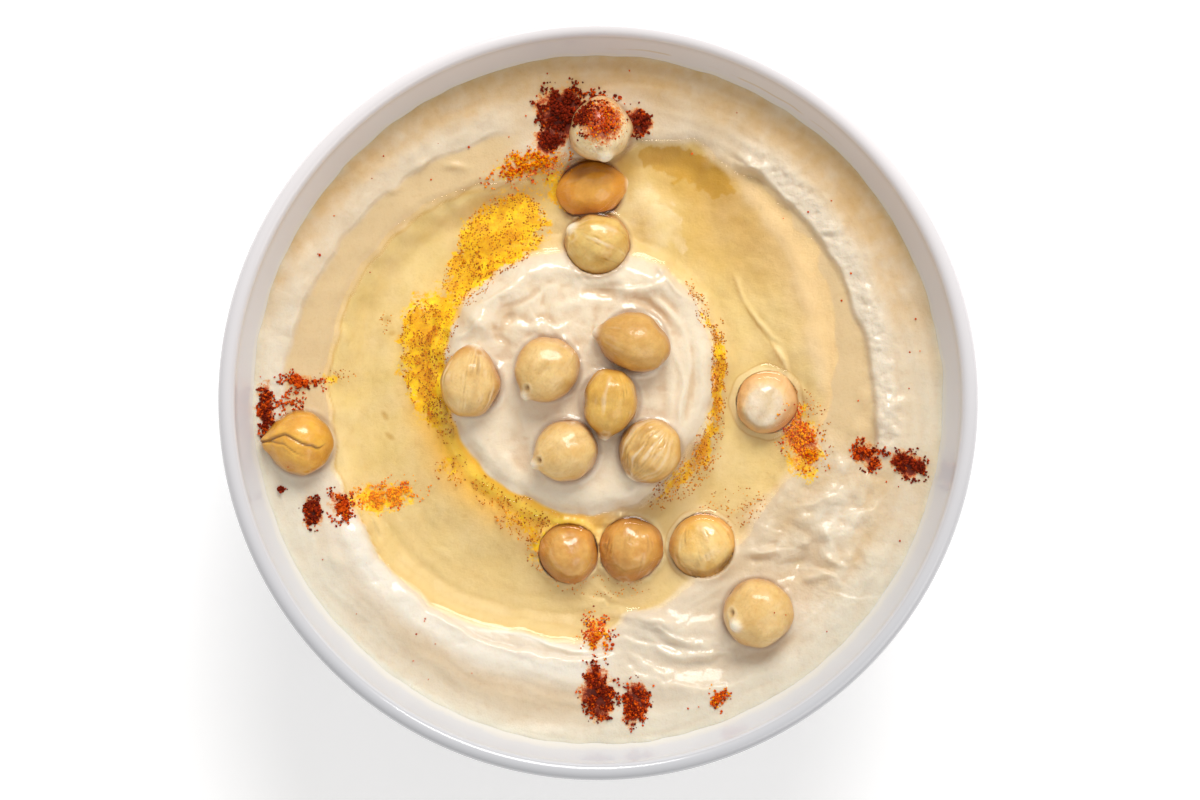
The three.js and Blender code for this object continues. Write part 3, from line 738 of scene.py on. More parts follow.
def pea_lines(x, y):
    """Masks for painted shade and light: 1 on a thin line round each chickpea, 1 on the edge of its collar of
    oil, and 1 just inside that.
    """
    contact_shade, collar, inner = (np.zeros_like(x) for _ in range(3))
    for pea, place in zip(CHICKPEAS, PEA_FRAMES):
        outside = near_pea(place, x, y, OIL_LEVEL if pea.look in SKIRTS else None)
        strength = 0.9 if pea.look in ("oiled", "sunk") else 0.65
        contact_shade = np.maximum(contact_shade, strength * bell((outside - 0.2) / 0.5))
        if pea.look in SKIRTS:
            off = outside + 0.5 * noise(x, y, 4, 72) - SKIRTS[pea.look][0]
            collar = np.maximum(collar, bell(off / 0.22))
            inner = np.maximum(inner, bell((off + 0.65) / 0.4))
    return contact_shade, collar, inner


def paint(x, y, z, raised):
    """The dip's colour before spice, painted light and shade included, and how much yellow, red and gloss
    lies on it.
    """
    moved = wander(x, y)
    rise, r, angle = bank(*moved)
    body, away, edge = mound_body(*moved)
    ring = away - edge
    heading = angle % 360
    depth = OIL_LEVEL - z
    north = np.sin(np.radians(angle))
    upper = ramp(-0.25, 0.55, north)
    south = ramp(0.1, 0.8, -north)
    drift = 0.5 * layered(x, y, 7, 61, 3)
    high, low = np.clip(raised, 0, 1), np.clip(-raised, 0, 1)
    fallen = lower_right(x, y)
    front = in_front(x, y) * rise
    torn = crests(r, angle, RIDGES[:1])
    grit = np.clip(torn + 0.6 * fallen, 0, 1)
    shade_away_from_lower_left = 0.25 + 0.75 * ramp(-45, 30, 0.6 * x + 0.8 * y)
    south_east = between(r, 22, 40, 57, 63) * between(angle, -80, -52, -12, 4)
    patchy = 0.4 * drift + 0.22 * layered(x, y, 2.4, 64, 3)
    east = bell(turn(angle, -17) / 12)
    hollow_band = bell((r - 57) / 3.6) * between(heading, 212, 236, 262, 280)
    relief_shade = (0.16 + 0.26 * body + 0.12 * grit) * (1 - 0.7 * bell((depth + 0.4) / 0.8) * (1 - body))
    under = ramp(-0.35, 0.5 + 1.6 * ramp(10, 24, x) * ramp(8, 22, -y), depth) * (1 - 0.9 * body)
    right_slope = between(r, 33, 44, 50, 51.5) * between(angle, 2, 18, 56, 70)
    deep = np.clip(spots(GOLD_SPOTS, x, y) + 0.10 * ramp(1.6, 3.4, depth), 0, 1)
    left = between(heading, 92, 108, 205, 225)
    crescent = ramp(0.36, 0.44, spots(CRESCENT, *jagged(x, y, 1.1)))
    mottle = ramp(0.15, 0.6, layered(x, y, 2.2, 67, 3))
    contact_shade, collar, inner = pea_lines(x, y)
    off_mound = facing_left(x, y) * ramp(-1.0, -0.3, ring)
    coats = [
        (MOUND_CREAM, body),
        # Painted shade: away from the lower left, where most light falls, the dip is painted darker and
        # warmer.
        (CREAM_PAINTED_SHADE, shade_away_from_lower_left * (0.6 + 0.6 * drift) * (1 - body)),
        (FALLEN, 0.42 * south_east * (0.85 + 0.8 * drift)),
        # The outer band: tan with painted shade where the wall shades it, and painted light, pale, under the
        # lit part of the wall.
        (TAN_AND_PAINTED_SHADE, ramp(52, 60.5, r) * upper * (0.72 + patchy)),
        (PALE_PAINTED_LIGHT, 0.7 * ramp(55, 60, r) * (1 - upper) * (1 - 0.8 * east)),
        (CREST, 0.75 * spots(PALE_SPOTS, *jagged(x, y, 1.2))),
        # Painted shade in the hollow outside the lower left ridge.
        (TAN_AND_PAINTED_SHADE, 0.40 * hollow_band),
        # Painted shade in the hollows, darker and warmer, and painted light on the crests, paler.
        (HOLLOW_PAINTED_SHADE, relief_shade * low),
        (CREST, 0.8 * relief_shade * high),
        # Painted light: the ridges' crests are paler, most of all on the torn upper right ridge and where the
        # lower left one rises from the oil.
        (PAINTED_SHINE, 0.45 * torn * (0.8 + 0.6 * drift)),
        (CREST, 0.55 * crests(r, angle, RIDGES[1:2]) * (0.8 + 0.8 * drift)),
        (PAINTED_SHINE, 0.75 * crests(r, angle, RIDGES[2:]) * ramp(0.1, -0.4, depth)),
        # Smooth oily slopes between the shore and the ridges at the top, with painted shade where they face
        # away from the light.
        (OILY_SLOPE_SHADE, 0.95 * slopes(r, angle)),
        # Painted light: the folds in front are paler.
        (CREST, 0.45 * front),
        # Oil: pale where it is thin, gold where it is deep.
        (OIL_THIN, under * (0.85 + 0.3 * drift)),
        (OIL_SOUTH, 0.7 * under * south * ramp(20, 34, r)),
        (OIL_SHORE, 0.6 * under * south * bell((depth - 0.3) / 0.9) * ramp(30, 38, r)),
        # Painted shade on the smooth slope between the oil and the upper right ridge.
        (OILY_SLOPE_SHADE, 0.8 * right_slope),
        (OIL_DEEP, under * deep * (0.85 + 0.5 * drift)),
        (OIL_DEEP, (0.08 + 0.5 * left) * bell((depth - 0.12) / 0.16) * (1 - body)),
        (OIL_DEEP, 0.72 * crescent * under),
        (CREST, 0.34 * shoal(x, y) * under),
        (OIL_DARK, 0.9 * spots(OIL_LINE, x, y)),
        # Pits, scratches and flecks under the oil hold a darker gold.
        (OIL_DARK, 0.07 * under * mottle),
        (OIL_DARK, 0.10 * low * under),
        (CREST, 0.14 * high * under),
        (OIL_DARK, 0.3 * np.clip(-shore_lines(r, angle), 0, 1) + 0.6 * spots(FLECKS, x, y)),
        # Painted shade and light: a dark gold ring on the edge of the oil's collar round some chickpeas, and
        # a pale one just inside it, where the collar bends the light.
        (OIL_DARK, 0.55 * collar * under),
        (CREST, 0.08 * inner * under),
        # Painted shade where each chickpea meets the dip, with some of the oil's stain there.
        (CONTACT_SHADE_AND_STAIN, 0.7 * contact_shade),
        # Yellow that the spice gave to the oil stays thickest along the mound's lower left side.
        (STAIN, bell(np.maximum(0, ring - 1.0) / 5.4) * off_mound),
        (STAIN_NEAR, bell((ring - 1.0) / 2.0) * off_mound),
        (STAIN_EDGE, 0.8 * bell((ring + 0.3) / 0.8) * off_mound),
        # Painted highlight: the bright line along the shore in front.
        (PAINTED_SHINE, spots(SHORE_LINE, x, y)),
    ]
    color = np.tile(rgb(CREAM)[:3], (len(x), 1))
    for tone, weight in coats:
        color += (np.array(rgb(tone)[:3]) - color) * np.clip(weight, 0, 1)[:, None]
    yellow = spots(YELLOW_SPOTS, *jagged(x, y, 0.8)) * (1 - ramp(0.35, 0.85, body))
    shore_gloss = ramp(-1.0, -0.3, depth) * (1 - under) * (1 - ramp(0.9, 1.6, -depth))
    wet = body + 0.8 * shore_gloss + 0.4 * fallen + 0.9 * front + 0.7 * crests(r, angle)
    red = spots(RED_SPOTS, *jagged(x, y, 0.9))
    return {"paint": color, "yellow": yellow, "red": red, "wet": np.clip(wet, 0, 1), "grit": grit}


CREAM = "#e4d7c2"
MOUND_CREAM = "#f0dfc2"
CREAM_PAINTED_SHADE = "#d9c099"
CREST = "#e9dec9"
PAINTED_SHINE = "#f0eadc"
TAN_AND_PAINTED_SHADE = "#d4b07a"
PALE_PAINTED_LIGHT = "#e0d9c6"
FALLEN = "#d6bb90"
OILY_SLOPE_SHADE = "#ddc192"
HOLLOW_PAINTED_SHADE = "#cd9c5e"
OIL_THIN = "#dac58a"
OIL_SOUTH = "#d4bf90"
OIL_SHORE = "#d6bd84"
OIL_DEEP = "#c4982e"
OIL_DARK = "#b88a3a"
CONTACT_SHADE_AND_STAIN = "#8f5c28"
STAIN = "#f0bc48"
STAIN_NEAR = "#ffd64c"
STAIN_EDGE = "#ffbc2c"
# Where the dip at the lower right looks palest.
PALE_SPOTS = placed(
    (842, 522, 6.0, 4.6, 60, 1.0), (808, 622, 4.6, 3.4, 30, 1.0), (848, 578, 3.6, 2.4, 20, 0.5),
)
# Small dark marks in the oil on the left.
FLECKS = placed(
    (381, 416, 1.0, 0.5, -60, 1.0), (386, 437, 1.1, 0.5, -35, 1.0), (383, 318, 0.9, 0.7, 0, 0.8),
    (388, 332, 0.7, 0.5, 0, 0.8),
)
# Two places under the oil with clear edges: a deep gold crescent, and a pale shoal.
CRESCENT = placed(
    (688, 162, 9.6, 2.9, -16, 1.0), (716, 178, 4.0, 2.6, -30, 0.9),
)
SHOAL = placed(
    (656, 220, 5.6, 4.6, -30, 1.0), (680, 240, 3.0, 1.6, -60, 0.8), (648, 198, 2.6, 3.4, 0, 0.7),
)
# The line where the oil thins out at the right, and a painted highlight along the shore in front.
OIL_LINE = placed(
    (739, 283, 3.4, 0.22, -68, 0.5), (757, 318, 3.8, 0.22, -56, 0.6), (779, 352, 4.0, 0.22, -60, 0.6),
    (799, 383, 2.6, 0.22, -50, 0.5),
)
SHORE_LINE = placed(
    (540, 644, 9.0, 0.5, -15, 0.8),
)
GOLD_SPOTS = placed(
    (700, 178, 11.0, 6.0, -20, 0.7), (722, 222, 15.0, 9.0, -52, 0.5), (515, 196, 8.0, 3.4, 20, 0.4),
    (600, 172, 8.0, 5.0, 0, 0.8), (648, 225, 3.0, 6.0, 0, 0.4),
)


def blurred(grid, reach):
    """A grid of heights with each value the mean of its neighbours within a reach, twice over."""
    for _ in range(2):
        for axis in (0, 1):
            padded = np.concatenate([np.repeat(grid.take([0], axis), reach + 1, axis), grid,
                                     np.repeat(grid.take([-1], axis), reach, axis)], axis)
            total = np.cumsum(padded, axis)
            width = 2 * reach + 1
            count = grid.shape[axis]
            high = total.take(np.arange(width, width + count), axis)
            low = total.take(np.arange(count), axis)
            grid = (high - low) / width
    return grid


def make_hummus():
    """The dip: its top, a side that follows the wall down, and a bottom on the bowl's floor."""
    u, v, quads, border = disk_grid(HUMMUS_GRID)
    angle = np.arctan2(v, u)
    reach = np.hypot(u, v) * edge_radius(angle)
    x, y = reach * np.cos(angle), reach * np.sin(angle)
    z = hummus_height(x, y)
    grid = z.reshape(HUMMUS_GRID + 1, -1)
    raised = sum((grid - blurred(grid, cells)) / full for cells, full in RELIEF).ravel()
    top = np.stack([x, y, z], -1)
    n = len(border)
    rim = top[border]
    rim_angle = np.arctan2(rim[:, 1], rim[:, 0])
    layers = []
    for share in SIDE_RINGS:
        height = FLOOR_HEIGHT + (rim[:, 2] - FLOOR_HEIGHT) * share ** 1.6
        radius = wall_radius(height) - SIDE_GAP
        layers.append(np.stack([radius * np.cos(rim_angle), radius * np.sin(rim_angle), height], -1))
    centre = np.array([[0, 0, FLOOR_HEIGHT + SIDE_GAP]])
    points = np.concatenate([top, *layers, centre])
    rings = [border] + [len(top) + k * n + np.arange(n) for k in range(len(layers))]
    skirt = []
    for upper, lower in zip(rings, rings[1:]):
        skirt.append(np.stack([upper, lower, np.roll(lower, -1), np.roll(upper, -1)], -1))
    last = rings[-1]
    fan = np.stack([last, np.full(n, len(points) - 1), np.roll(last, -1)], -1)
    raised = np.concatenate([raised, np.zeros(len(points) - len(raised))])
    return make_object("hummus_dip", points, [quads, *skirt, fan], paint(*points.T, raised))


# ---- the oil
# The spacing of the grid that the oil is cut from, and how far it reaches from the axis.
OIL_GRID = 0.30
OIL_REACH = 56.0
# A place in the ring of oil. Damp spots that do not join the ring are left out.
IN_OIL = px(470, 560)
# How far the oil is drawn up along the dip and along a chickpea, and from how close.
DRAWN_UP = (0.55, 0.55)
PEA_DRAWN_UP = (1.2, 0.75)
# How far its edge and its underside reach into the dip.
OIL_OVERLAP = 0.12
OIL_BITE = 0.18
# The raised collar of oil round some looks of chickpea: how far it reaches and how high it stands.
SKIRTS = {"pale": (2.1, 0.28), "wet": (1.5, 0.35), "oiled": (0.9, 0.35)}


def oil_surface(x, y, hummus):
    """The oil's top: level, and drawn up where it meets the dip or a chickpea."""
    z = np.full_like(x, OIL_LEVEL)
    gap = OIL_LEVEL - hummus
    z = z + DRAWN_UP[0] * np.exp(-np.maximum(gap, 0) / DRAWN_UP[1])
    for pea, place in zip(CHICKPEAS, PEA_FRAMES):
        middle, _, half = place
        if middle[2] - half[2] > OIL_LEVEL - 0.5 or middle[2] + half[2] < OIL_LEVEL:
            continue
        outside = near_pea(place, x, y, OIL_LEVEL)
        climb = 1 - ramp(-0.4, 0.3, hummus - OIL_LEVEL)
        rise, reach = PEA_DRAWN_UP
        z = np.maximum(z, OIL_LEVEL + rise * climb * np.exp(-np.maximum(outside, 0) / reach))
        if pea.look in SKIRTS:
            reach, height = SKIRTS[pea.look]
            off = outside + 0.5 * noise(x, y, 4, 72) - reach
            z = np.maximum(z, OIL_LEVEL + height * (1 - ramp(-0.25, 0.25, off)))
    return z + 0.02 * noise(x, y, 9, 71)


def make_oil():
    """A closed body between the oil's top and just under the dip's surface."""
    line = np.arange(-OIL_REACH, OIL_REACH + OIL_GRID / 2, OIL_GRID)
    gx, gy = np.meshgrid(line, line)
    ground = hummus_height(gx, gy)
    top = oil_surface(gx, gy, ground)
    wet = (top > ground - OIL_OVERLAP) & (np.hypot(gx, gy) < OIL_REACH - 1)
    cell = wet[:-1, :-1] & wet[:-1, 1:] & wet[1:, 1:] & wet[1:, :-1]
    cell = patch_round(cell, *(round((at + OIL_REACH) / OIL_GRID) for at in reversed(IN_OIL)))
    index = -np.ones(gx.shape, int)
    rows, columns = np.nonzero(cell)
    used = np.zeros(gx.shape, bool)
    for dr, dc in ((0, 0), (0, 1), (1, 1), (1, 0)):
        used[rows + dr, columns + dc] = True
    index[used] = np.arange(used.sum())
    n = used.sum()
    low = np.minimum(ground, top) - OIL_BITE
    upper = np.stack([gx[used], gy[used], top[used]], -1)
    lower = np.stack([gx[used], gy[used], low[used]], -1)
    quad = np.stack([index[rows, columns], index[rows, columns + 1],
                     index[rows + 1, columns + 1], index[rows + 1, columns]], -1)
    edges = np.concatenate([quad[:, [0, 1]], quad[:, [1, 2]], quad[:, [2, 3]], quad[:, [3, 0]]])
    keys = set(map(tuple, edges.tolist()))
    border = np.array([e for e in keys if (e[1], e[0]) not in keys])
    sides = np.stack([border[:, 0], border[:, 0] + n, border[:, 1] + n, border[:, 1]], -1)
    return make_object("olive_oil_pool", np.concatenate([upper, lower]), [quad, quad[:, ::-1] + n, sides])


def patch_round(mask, row, column):
    """The patch of true cells that joins on to one cell, found by walking outwards from it."""
    found = np.zeros_like(mask)
    waiting = [(row, column)]
    while waiting:
        row, column = waiting.pop()
        if mask[row, column] and not found[row, column]:
            found[row, column] = True
            waiting += [(row + 1, column), (row - 1, column), (row, column + 1), (row, column - 1)]
    return found


# ---- the chickpeas
PEA_ROWS = 84
PEA_COLUMNS = 132
# For each beak: the length and spread in degrees of its tip, and of the swelling it stands on.
BEAKS = {"broad": (0.12, 14, 0.08, 32), "small": (0.13, 10, 0.12, 27), "blunt": (0.05, 14, 0.09, 36)}
# For each skin: its fine wrinkles, lines from the beak, folds, furrow and depth of its pit.
SKINS = {
    "smooth": dict(wrinkle=0.009, vein=0.008, crumple=0.0, furrow=0.55, pit=0.085),
    "veined": dict(wrinkle=0.009, vein=0.030, crumple=0.0, furrow=0.6, pit=0.020),
    "creased": dict(wrinkle=0.016, vein=0.014, crumple=0.012, furrow=0.8, pit=0.030),
    "crumpled": dict(wrinkle=0.006, vein=0.006, crumple=0.040, furrow=0.3, pit=0.015),
    "split": dict(wrinkle=0.006, vein=0.004, crumple=0.0, furrow=0.0, pit=0.0),
}


def pea_surface(theta, phi, skin, beak, seed):
    """How far the skin lies from a plain ball, and how dark and how pale it is, at angles from the beak."""
    skin = SKINS[skin]
    tip, tip_spread, swell, swell_spread = BEAKS[beak]
    lean, pit_side, lobes = np.random.default_rng(seed).uniform(-1, 1, 3)
    t, f = np.degrees(theta), np.degrees(phi)
    c, s = np.cos(phi), np.sin(phi)
    # On a ball, so that nothing pinches at the tail.
    bx, by, bz = np.cos(theta) + 10 * seed, np.sin(theta) * c, np.sin(theta) * s
    tail = 1 - ramp(138, 168, t)
    nx, ny = t / 40 * c + 10 * seed, t / 40 * s
    beak_t = np.hypot(t * c - 4 * lean, t * s)
    shape = 1 + tip * np.exp(-(beak_t / tip_spread) ** 3) + swell * bell(beak_t / swell_spread)
    shape += (0.016 + 0.010 * lobes) * np.cos(2 * phi) * np.sin(theta) ** 2
    shape += 0.066 * (noise(bx, by, 0.9, 100 + seed) + noise(bx, bz, 0.9, 115 + seed))
    shape += 0.024 * (noise(bx, by, 0.42, 130 + seed) + noise(bx, bz, 0.42, 145 + seed))
    # The small round hollow beside the beak, with its raised border.
    pit_at = 90 + 14 * pit_side
    pit_c, pit_s = cos_sin(pit_at)
    far = 1.3 * tip_spread + 7
    away = np.hypot(t * c - far * pit_c, t * s - far * pit_s)
    away *= 1 + 0.25 * noise(nx, ny, 0.25, 165 + seed)
    hole = bell(away / 4.8)
    shape += 0.2 * skin["pit"] * bell((away - 9) / 3) - skin["pit"] * hole
    # The furrow down the back.
    furrow = skin["furrow"] * bell(turn(f, pit_at) / (4 + 0.05 * t)) * between(t, 35, 70, 140, 168)
    shape -= 0.022 * furrow
    # Lines that run from the beak to the tail, and a net of fine wrinkles.
    vein = np.abs(noise(3.2 * c + 20 * seed + t / 150, 3.2 * s, 0.62, 160 + seed))
    patchy = skin["vein"] * blobs(nx, ny, 1.0, 175 + seed)
    line = ramp(0.16, 0.0, vein) * np.sin(theta) * tail
    shape -= line * patchy
    net = skin["wrinkle"] * ramp(0.14, 0.0, np.abs(noise(nx, ny, 0.33, 190 + seed))) * tail
    shape -= net * blobs(nx, ny, 1.1, 185 + seed)
    # Folds that fan out from the beak over the upper side, and small ones across them further back.
    loose = skin["crumple"] * bell(turn(f, 88) / 62) * between(t, 14, 34, 128, 160)
    across = (f + 8 * noise(nx, ny, 0.9, 201 + seed)) / 11
    groove = np.abs(noise(across, t / 95, 1.0, 210 + seed))
    fold_line = 1 - ramp(0.0, 0.28, groove)
    back = skin["crumple"] * bell((t - 108) / 26) * bell(turn(f, 80) / 46)
    shape += loose * (0.45 - fold_line) + 0.55 * back * noise(nx, ny, 0.30, 220 + seed)
    # Darkness: the pit's own brown, and painted shade in the furrow, the lines, the wrinkles and the folds'
    # grooves.
    dark = 0.95 * hole * min(1, skin["pit"] * 14) + 0.3 * furrow + 20 * line * patchy
    dark += 14 * net + 9 * loose * fold_line
    # Paleness: the beak's own, and painted light on the fold ridges and between the lines.
    pale = 1.1 * np.exp(-(beak_t / (1.05 * tip_spread)) ** 3) + 0.2 * bell((away - 9) / 3.2)
    off_vein = ramp(0.3, 0.5, vein) * np.sin(theta) * tail
    pale = pale * (skin["pit"] > 0) + 12 * loose * ramp(0.35, 0.6, groove) + 14 * off_vein * patchy
    return shape, dark, pale


def split_skin(theta, phi):
    """The wavy tear of a chickpea whose upper skin has come away over the lower one, with painted shade along
    it.
    """
    t = np.degrees(theta)
    f = np.degrees(phi)
    path = 96 + 12 * np.sin(np.radians(2.6 * t - 30)) + 5 * noise(t / 26, 0 * t, 1.0, 401)
    off = turn(f, path) * np.sin(theta)
    along = 1 - ramp(112, 150, t)
    tear = bell(off / 2.0) * along
    lip = ramp(0.3, 2.6, off) * np.exp(-np.maximum(off, 0) / 24) * along
    branch_path = path - 6 - 16 * ramp(8, 50, t) + 3 * noise(t / 22, 0 * t, 1.0, 403)
    branch_off = turn(f, branch_path) * np.sin(theta)
    branch_along = between(t, 8, 18, 66, 100)
    branch = bell(branch_off / 1.6) * branch_along
    ply = bell((branch_off + 5) / 4) * branch_along
    shape = -0.060 * tear + 0.055 * lip - 0.034 * branch + 0.018 * ply
    return shape, np.maximum(tear, 0.8 * branch)


def make_chickpea(number, pea, place):
    """One chickpea with its beak, its hollow, its furrow and its wrinkled skin."""
    middle, rotation, half = place
    rows = np.linspace(0, np.pi, PEA_ROWS + 1)[1:-1]
    columns = np.arange(PEA_COLUMNS) * 2 * np.pi / PEA_COLUMNS
    theta, phi = (g.ravel() for g in np.meshgrid(rows, columns, indexing="ij"))
    theta = np.concatenate([theta, [0, np.pi]])
    phi = np.concatenate([phi, [0, 0]])
    shape, dark, pale = pea_surface(theta, phi, pea.skin, pea.beak, number)
    if pea.skin == "split":
        torn, line = split_skin(theta, phi)
        shape += torn
        # Painted shade along the tear.
        dark += line
    ball = np.stack([np.cos(theta), np.sin(theta) * np.cos(phi), np.sin(theta) * np.sin(phi)], -1)
    points = (ball * shape[:, None] * half) @ rotation.T + middle
    faces = [np.roll(group[:, ::-1], 1, 1) for group in closed_faces(len(rows), PEA_COLUMNS)]
    x, y, z = points.T
    dip = hummus_height(x, y)
    level = np.maximum(dip, np.where(dip < OIL_LEVEL, OIL_LEVEL, 0))
    height = (z - middle[2]) / half[2]
    attributes = {
        "dark": np.clip(dark, 0, 1),
        "pale": np.clip(pale, 0, 1),
        "soaked": 1 - ramp(0, 1.6, z - level),
        # Painted shade, low on the chickpea's side.
        "side": 1 - ramp(0.0, 0.65, height),
    }
    if pea.look == "dusted":
        reach = np.hypot(x - middle[0] - 0.2, y - middle[1] - 1.2)
        attributes["red"] = 1.5 * bell(reach / 4.0) * ramp(-0.1, 0.3, height)
    return make_object(f"chickpea_{number:02d}_whole", points, faces, attributes)


# ---- paprika
# Pinches: middle, half length, half width, heading, grains, share dark and share red. The rest is orange.
PINCHES = placed(
    (566, 108, 6.0, 5.0, -10, 900, 0.85, 0.15), (552, 137, 3.0, 2.0, 10, 160, 0.9, 0.1),
    (638, 118, 2.6, 2.9, 30, 190, 0.8, 0.2), (590, 92, 5.0, 1.6, -8, 120, 0.5, 0.5),
    (530, 163, 8.4, 3.2, 15, 420, 0.0, 0.30), (262, 410, 2.0, 5.4, 0, 330, 0.55, 0.45),
    (297, 382, 4.0, 2.0, -8, 200, 0.2, 0.8), (285, 405, 3.4, 2.2, 40, 60, 0.1, 0.9),
    (309, 513, 1.9, 3.2, 12, 210, 0.75, 0.25), (338, 508, 2.6, 3.6, 20, 230, 0.25, 0.65),
    (382, 497, 7.0, 3.0, 12, 300, 0.0, 0.08), (805, 440, 3.8, 6.4, 25, 400, 0.0, 0.35),
    (872, 456, 3.4, 2.6, -50, 260, 0.45, 0.55), (912, 465, 3.9, 2.7, -18, 330, 0.7, 0.3),
    (598, 636, 3.6, 4.4, 10, 230, 0.05, 0.45), (598, 695, 3.4, 6.0, 8, 560, 0.6, 0.4),
    (636, 707, 3.0, 4.8, -12, 330, 0.55, 0.45), (720, 702, 2.2, 2.4, 0, 80, 0.1, 0.6),
    (731, 726, 1.8, 1.6, -30, 45, 0.15, 0.6), (276, 491, 1.2, 0.7, 0, 26, 0.8, 0.2),
)
# Fine specks in the oil: the same, for smaller grains.
DUSTINGS = placed(
    (500, 232, 8.4, 6.0, 38, 900), (466, 276, 5.0, 4.4, 60, 330), (436, 318, 3.6, 4.0, 0, 120),
    (424, 358, 4.4, 10.0, 6, 900), (440, 425, 2.2, 4.0, 35, 80), (450, 470, 3.0, 3.0, -45, 70),
    (484, 492, 5.0, 2.2, -42, 100), (520, 520, 5.0, 3.6, -30, 190), (540, 545, 3.0, 5.0, 0, 150),
    (703, 306, 1.5, 5.5, 25, 110), (721, 368, 1.5, 9.0, 0, 400), (710, 441, 2.2, 6.0, -18, 220),
    (686, 478, 8.0, 3.0, 42, 320), (735, 510, 6.0, 3.6, 10, 140), (805, 430, 5.0, 7.5, 20, 200),
    (600, 590, 9.0, 2.0, 0, 70), (382, 320, 1.2, 2.2, 0, 20), (330, 375, 4.0, 1.4, 0, 40),
)
# Grains on the first chickpea: kind, count and reach.
ON_FIRST = [("paprika_dark", 60, 2.4), ("paprika_red", 300, 3.0), ("paprika_orange", 110, 3.4)]
# Single grains, and the ring they lie in.
LONE_GRAINS = 45
LONE_RING = (48, 63)
SPICE_REACH = 63.5
# The smallest and largest grain of each kind, and how many fall for each one counted above.
GRAIN = {"paprika_dark": (0.17, 0.36), "paprika_red": (0.16, 0.34), "paprika_orange": (0.14, 0.27),
         "paprika_specks": (0.11, 0.23)}
DENSITY = 2.2
# Where grains lie on each other: the side of a stack, the rise for each grain in it, and its limit.
STACK = 0.4
STACK_RISE = 0.09
STACK_LIMIT = 0.8
# How each grain is squeezed and made uneven, and how much of its size shows above what it lies on.
SQUEEZE = (0.65, 1.2)
UNEVEN = 0.22
GRAIN_LIFT = 0.35
# In a pinch grains spread like this, in half lengths, out to a limit; specks lie evenly out to theirs.
PINCH_SPREAD = 0.48
PINCH_LIMIT = 1.25
SPECK_LIMIT = 1.1
PINCH_CLUMPING = 0.6
SPECK_CLUMPING = 0.1
# On a chickpea grains lie out to this share of its radius, and on the first one round this place.
ON_PEA = 0.9
FIRST_PLACE = (0.3, 1.4)
FIRST_SPREAD = 0.55
PAPRIKA_SEED = 2024
# Specks keep this far from the chickpeas, and float or sink down to this depth in the oil.
SPECK_GAP = 0.2
SPECK_DEPTH = 0.9


def octahedron():
    points = np.array([(1, 0, 0), (-1, 0, 0), (0, 1, 0), (0, -1, 0), (0, 0, 1), (0, 0, -1)], float)
    faces = np.array([(0, 2, 4), (2, 1, 4), (1, 3, 4), (3, 0, 4), (2, 0, 5), (1, 2, 5), (3, 1, 5), (0, 3, 5)])
    return points, faces


def lumpy_grain():
    """An octahedron with its edges split once, pulled out towards a ball."""
    points, faces = octahedron()
    points = points.tolist()
    halves = {}

    def middle(a, b):
        key = (min(a, b), max(a, b))
        if key not in halves:
            halves[key] = len(points)
            p = (np.array(points[a]) + np.array(points[b])) / 2
            points.append((p / np.linalg.norm(p) * 0.92).tolist())
        return halves[key]

    split = []
    for a, b, c in faces:
        ab, bc, ca = middle(a, b), middle(b, c), middle(c, a)
        split += [(a, ab, ca), (b, bc, ab), (c, ca, bc), (ab, bc, ca)]
    return np.array(points), np.array(split)


def scatter(rng, at, half_length, half_width, heading, count, clumping, even=False):
    """Points in an oval, gathered in clumps as powder falls, thicker in the middle unless even."""
    c, s = cos_sin(heading)
    found = np.zeros((0, 2))
    while len(found) < count:
        if even:
            turned = rng.uniform(0, 2 * np.pi, 4 * count)
            reach = SPECK_LIMIT * np.sqrt(rng.uniform(0, 1, 4 * count))
            a = np.stack([reach * np.cos(turned), reach * np.sin(turned)], -1)
        else:
            a = rng.normal(0, PINCH_SPREAD, (4 * count, 2))
            a = a[np.hypot(a[:, 0], a[:, 1]) < PINCH_LIMIT]
        x = at[0] + a[:, 0] * half_length * c - a[:, 1] * half_width * s
        y = at[1] + a[:, 0] * half_length * s + a[:, 1] * half_width * c
        thick = layered(x, y, 2.4, 301, 3, 0.7) + 0.35 - 0.9 * clumping * np.hypot(a[:, 0], a[:, 1])
        found = np.concatenate([found, np.stack([x, y], -1)[thick > rng.uniform(-0.5, 0.5, len(x)) * 0.4]])
    return found[:count]


def ground_under(x, y):
    """The height of what powder falls on: a chickpea or the dip."""
    z = hummus_height(x, y)
    for middle, _, half in PEA_FRAMES:
        reach = np.hypot(x - middle[0], y - middle[1]) / ((half[0] + half[1]) / 2)
        top = middle[2] + half[2] * np.sqrt(np.maximum(0, 1 - reach ** 2))
        z = np.where(reach < ON_PEA, np.maximum(z, top), z)
    return z


def make_grains(name, places, sizes, rng, base):
    """Many grains joined in one mesh, each turned and squeezed its own way."""
    shape, faces = base
    n = len(places)
    q = rng.normal(size=(n, 4))
    q /= np.linalg.norm(q, axis=1)[:, None]
    w, x, y, z = q.T
    turned = np.stack([
        1 - 2 * (y * y + z * z), 2 * (x * y - z * w), 2 * (x * z + y * w),
        2 * (x * y + z * w), 1 - 2 * (x * x + z * z), 2 * (y * z - x * w),
        2 * (x * z - y * w), 2 * (y * z + x * w), 1 - 2 * (x * x + y * y),
    ], -1).reshape(n, 3, 3)
    squeeze = rng.uniform(*SQUEEZE, (n, 1, 3))
    jitter = 1 + UNEVEN * rng.uniform(-1, 1, (n, len(shape), 1))
    local = shape[None] * jitter * squeeze * sizes[:, None, None]
    points = np.einsum("nij,nkj->nki", turned, local) + places[:, None, :]
    all_faces = faces[None] + (np.arange(n) * len(shape))[:, None, None]
    shade = np.repeat(rng.uniform(0, 1, n), len(shape))
    obj = make_object(name, points.reshape(-1, 3), [all_faces.reshape(-1, 3)], {"shade": shade})
    obj.data.polygons.foreach_set("use_smooth", np.zeros(len(obj.data.polygons), bool))
    return obj


